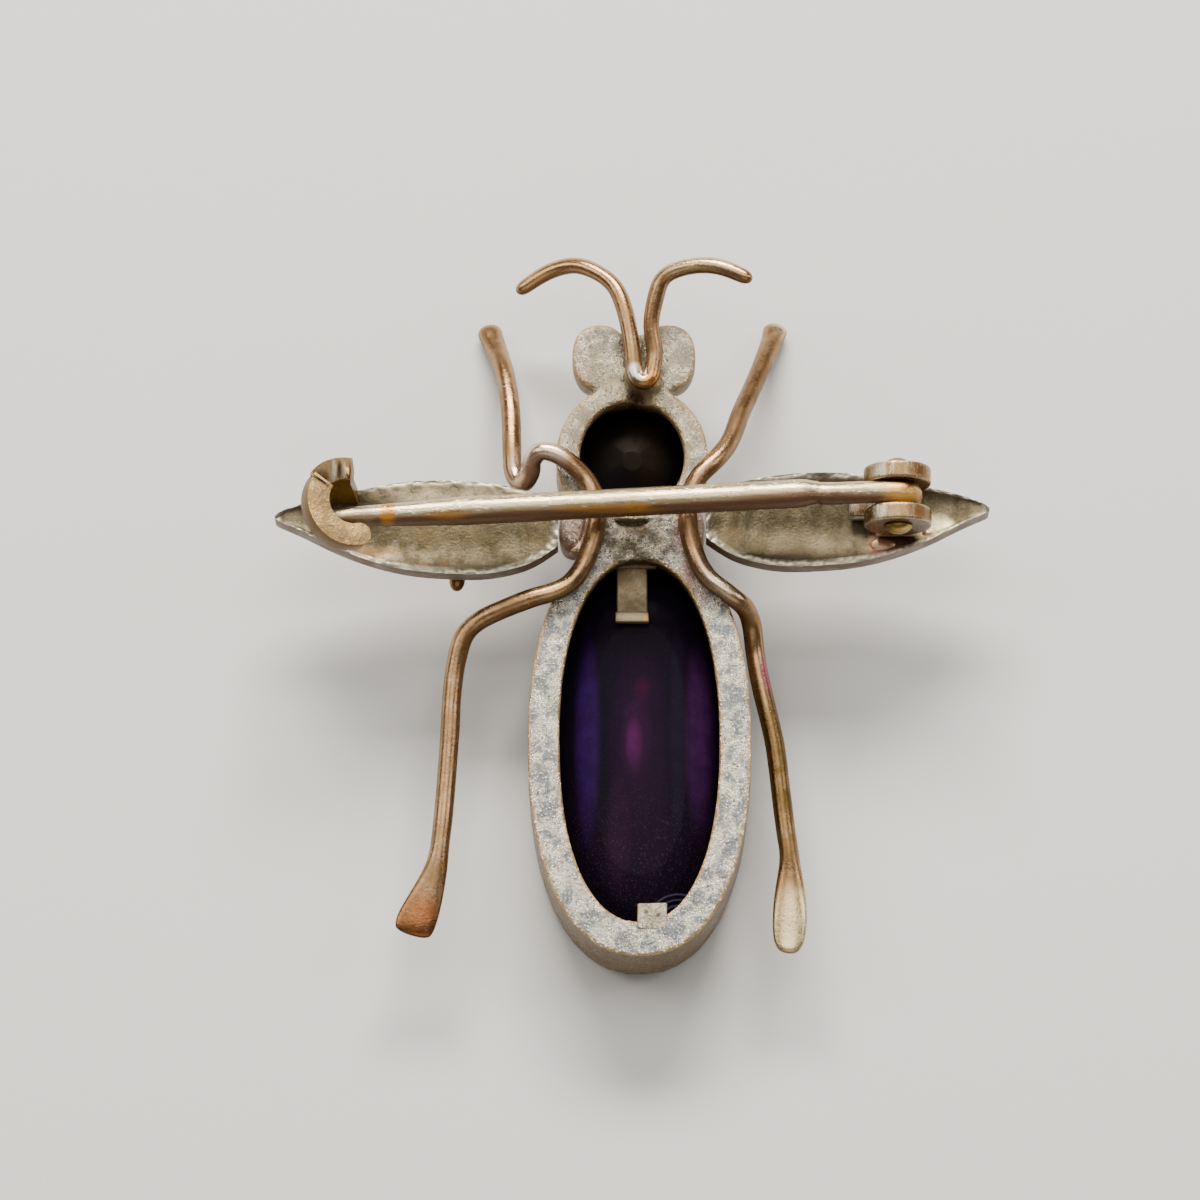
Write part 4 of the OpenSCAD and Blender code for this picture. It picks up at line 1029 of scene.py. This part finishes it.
class BROOCH_OT_pin(bpy.types.Operator):
    """Draw the pin with its tongue bent round the rivet, its stem and its point"""

    bl_idname = "brooch.pin"
    bl_label = "Pin"

    def execute(self, context):
        c = colours()
        low, high = (Vector(corner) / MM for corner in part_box("hinge_rivet"))
        centre = (low + high) / 2
        tongue_way = Vector((-math.cos(math.radians(2)), math.sin(math.radians(2)), 0))
        along = Vector((-0.998537, -0.054079, 0))
        tongue_l, stem_from, stem_l, taper_l = 4.4, 0.6, 16.2, 6.2
        radius, taper, eye_r = 0.7, 0.25, 0.8
        metal = gold_finish("pin metal", c.pin_metal, (0.34, 0.24, 0.12), (0.13, 0.065, 0.028),
            shine=0.22, bright=(0.95, 0.92, 0.84), run=(0.3, 1.0, 1.0),
            crumbs=0.6, pits=0.6, depth=0.03 * MM, stains_and_lights=PIN_STAINS, marks_and_lights=PIN_MARKS)
        step = centre + tongue_way * tongue_l
        neck = [(-0.5, 0.555), (-0.3, 0.575), (-0.1, 0.62), (0.1, 0.67), (0.3, 0.695), (0.45, 0.7)]
        stem = [(stem_from + stem_l * i / 40, radius) for i in range(41)]
        slim = [(stem_from + stem_l + taper_l * i / 16, radius - taper * i / 16) for i in range(1, 17)]
        end = stem_from + stem_l + taper_l
        point = [(end + t, r) for t, r in ((0.25, 0.4), (0.5, 0.27), (0.68, 0.17), (0.75, 0.08))]
        straight = [(step + along * t, along, r, r) for t, r in neck + stem + slim + point]
        tongue = []
        for t in (i / 17 for i in range(18)):
            ease = t * t * (3 - 2 * t)
            place = centre + tongue_way * (3.85 * (1 - t)) + Vector((0, 0, eye_r * ease))
            tongue.append((place, tongue_way, 0.55, 0.55 - 0.15 * ease))
        loop = []
        for i in range(1, 30):
            a = math.radians(90 - 300 * i / 29)
            place = centre + Vector((math.cos(a) * eye_r, 0, math.sin(a) * eye_r))
            loop.append((place, Vector((-math.sin(a), 0, math.cos(a))), 0.55, 0.4))
        rows = list(reversed(loop)) + list(reversed(tongue)) + straight
        bm = bmesh.new()
        sweep(bm, rows, (0, 1, 0), 40)
        waver(bm, depth=0.012 * MM, pitch=1.2 * MM, seed=9)
        bmesh.ops.recalc_face_normals(bm, faces=bm.faces)
        piece = finish_piece("pin", bm, "pin", [metal], ["pin_stem"])
        # The pin's lower side takes painted shade.
        paint_wear(piece, (0, 0.55, 0.83), low=0.3, high=0.85, depth=0.5)
        return {"FINISHED"}


class BROOCH_OT_solder(bpy.types.Operator):
    """Drop the small beads of solder beside the hinge"""

    bl_idname = "brooch.solder"
    bl_label = "Solder"

    def execute(self, context):
        pink = gold_finish("pink solder", (0.7, 0.42, 0.3), (0.45, 0.22, 0.14), (0.45, 0.21, 0.11),
            shine=0.26, rubs=0.3, depth=0.03 * MM)
        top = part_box("wing_right")[1][2] / MM
        bm = bmesh.new()
        for x, y, w, l in ((12.3, 2.6, 0.65, 0.36), (14.5, 3.2, 0.3, 0.16)):
            blob(bm, (x, y, top - 0.19), (w, l, 0.12))
        beads = finish_piece("solder_beads", bm, "brooch", [pink])
        paint_wear(beads, low=-0.4, high=0.3, depth=0.6)
        return {"FINISHED"}


CAMERA_TARGET = (-1.577, -0.019, 5.2)
CAMERA_TILT = 15
CAMERA_DISTANCE = 0.33
# Name, place in mm, size in mm, power in W, colour
LIGHTS = [
    ("back window", (-10, 330, 270), (300, 100), 3.2, (1.0, 0.96, 0.91)),
    ("left panel", (-300, 110, 290), (160, 220), 0.4, (1.0, 0.97, 0.93)),
    ("right panel", (330, 90, 260), (120, 200), 0.32, (0.96, 0.97, 1.0)),
    ("front panel", (0, -280, 330), (420, 240), 0.2, (1.0, 0.97, 0.92)),
    ("soft box", (0, 125, 460), (330, 260), 0.85, (1.0, 0.98, 0.95)),
]


class BROOCH_OT_stage(bpy.types.Operator):
    """Set the pale floor, the soft lights and the camera"""

    bl_idname = "brooch.stage"
    bl_label = "Stage"

    def execute(self, context):
        scene = context.scene
        bm = bmesh.new()
        bmesh.ops.create_grid(bm, x_segments=1, y_segments=1, size=1.5)
        mesh = bpy.data.meshes.new("floor")
        bm.to_mesh(mesh)
        bm.free()
        floor = bpy.data.objects.new("floor", mesh)
        scene.collection.objects.link(floor)
        paper, tree, shader = begin_material("pale floor")[:3]
        put(tree, shader, Base_Color=(*colours().floor, 1), Roughness=0.85)
        mesh.materials.append(paper)
        target = Vector(CAMERA_TARGET) * MM
        for row in LIGHTS:
            self.light(target, *row)
        world = bpy.data.worlds.new("studio")
        world.use_nodes = True
        world.node_tree.nodes["Background"].inputs["Color"].default_value = (0.78, 0.76, 0.72, 1)
        world.node_tree.nodes["Background"].inputs["Strength"].default_value = 0.18
        scene.world = world
        camera = bpy.data.cameras.new("camera")
        camera.sensor_width = 36
        camera.lens = 202.04
        camera.clip_start = 0.01
        camera.clip_end = 5
        seat = bpy.data.objects.new("camera", camera)
        scene.collection.objects.link(seat)
        tilt = math.radians(CAMERA_TILT)
        seat.location = target + Vector((0, -math.sin(tilt), math.cos(tilt))) * CAMERA_DISTANCE
        seat.rotation_euler = (tilt, 0, 0)
        scene.camera = seat
        return {"FINISHED"}

    def light(self, target, name, place, size, power, tint):
        made = bpy.data.lights.new(name, "AREA")
        made.shape = "RECTANGLE"
        made.size, made.size_y = size[0] * MM, size[1] * MM
        made.energy = power
        made.color = tint
        lamp = bpy.data.objects.new(name, made)
        bpy.context.scene.collection.objects.link(lamp)
        lamp.location = Vector(place) * MM
        lamp.rotation_euler = (target - lamp.location).to_track_quat("-Z", "Y").to_euler()


class BROOCH_PT_panel(bpy.types.Panel):
    """Lists the steps and the sizes and colours that they use."""

    bl_idname = "BROOCH_PT_panel"
    bl_label = "Insect brooch"
    bl_space_type = "VIEW_3D"
    bl_region_type = "UI"
    bl_category = "Brooch"

    def draw(self, context):
        for step in STEPS:
            self.layout.operator(step.bl_idname)
        for group in (context.scene.brooch_sizes, context.scene.brooch_colours):
            for name in group.__annotations__:
                self.layout.prop(group, name)


STEPS = (BROOCH_OT_stage, BROOCH_OT_frame, BROOCH_OT_tabs, BROOCH_OT_stones, BROOCH_OT_wings,
    BROOCH_OT_solder, BROOCH_OT_wires, BROOCH_OT_catch, BROOCH_OT_hinge, BROOCH_OT_pin)
CLASSES = (BroochSizes, BroochColours, *STEPS, BROOCH_PT_panel)


def register():
    for item in CLASSES:
        bpy.utils.register_class(item)
    bpy.types.Scene.brooch_sizes = bpy.props.PointerProperty(type=BroochSizes)
    bpy.types.Scene.brooch_colours = bpy.props.PointerProperty(type=BroochColours)


def unregister():
    del bpy.types.Scene.brooch_sizes
    del bpy.types.Scene.brooch_colours
    for item in reversed(CLASSES):
        bpy.utils.unregister_class(item)


def main():
    register()
    for step in STEPS:
        group, name = step.bl_idname.split(".")
        getattr(getattr(bpy.ops, group), name)()


if __name__ == "__main__":
    main()
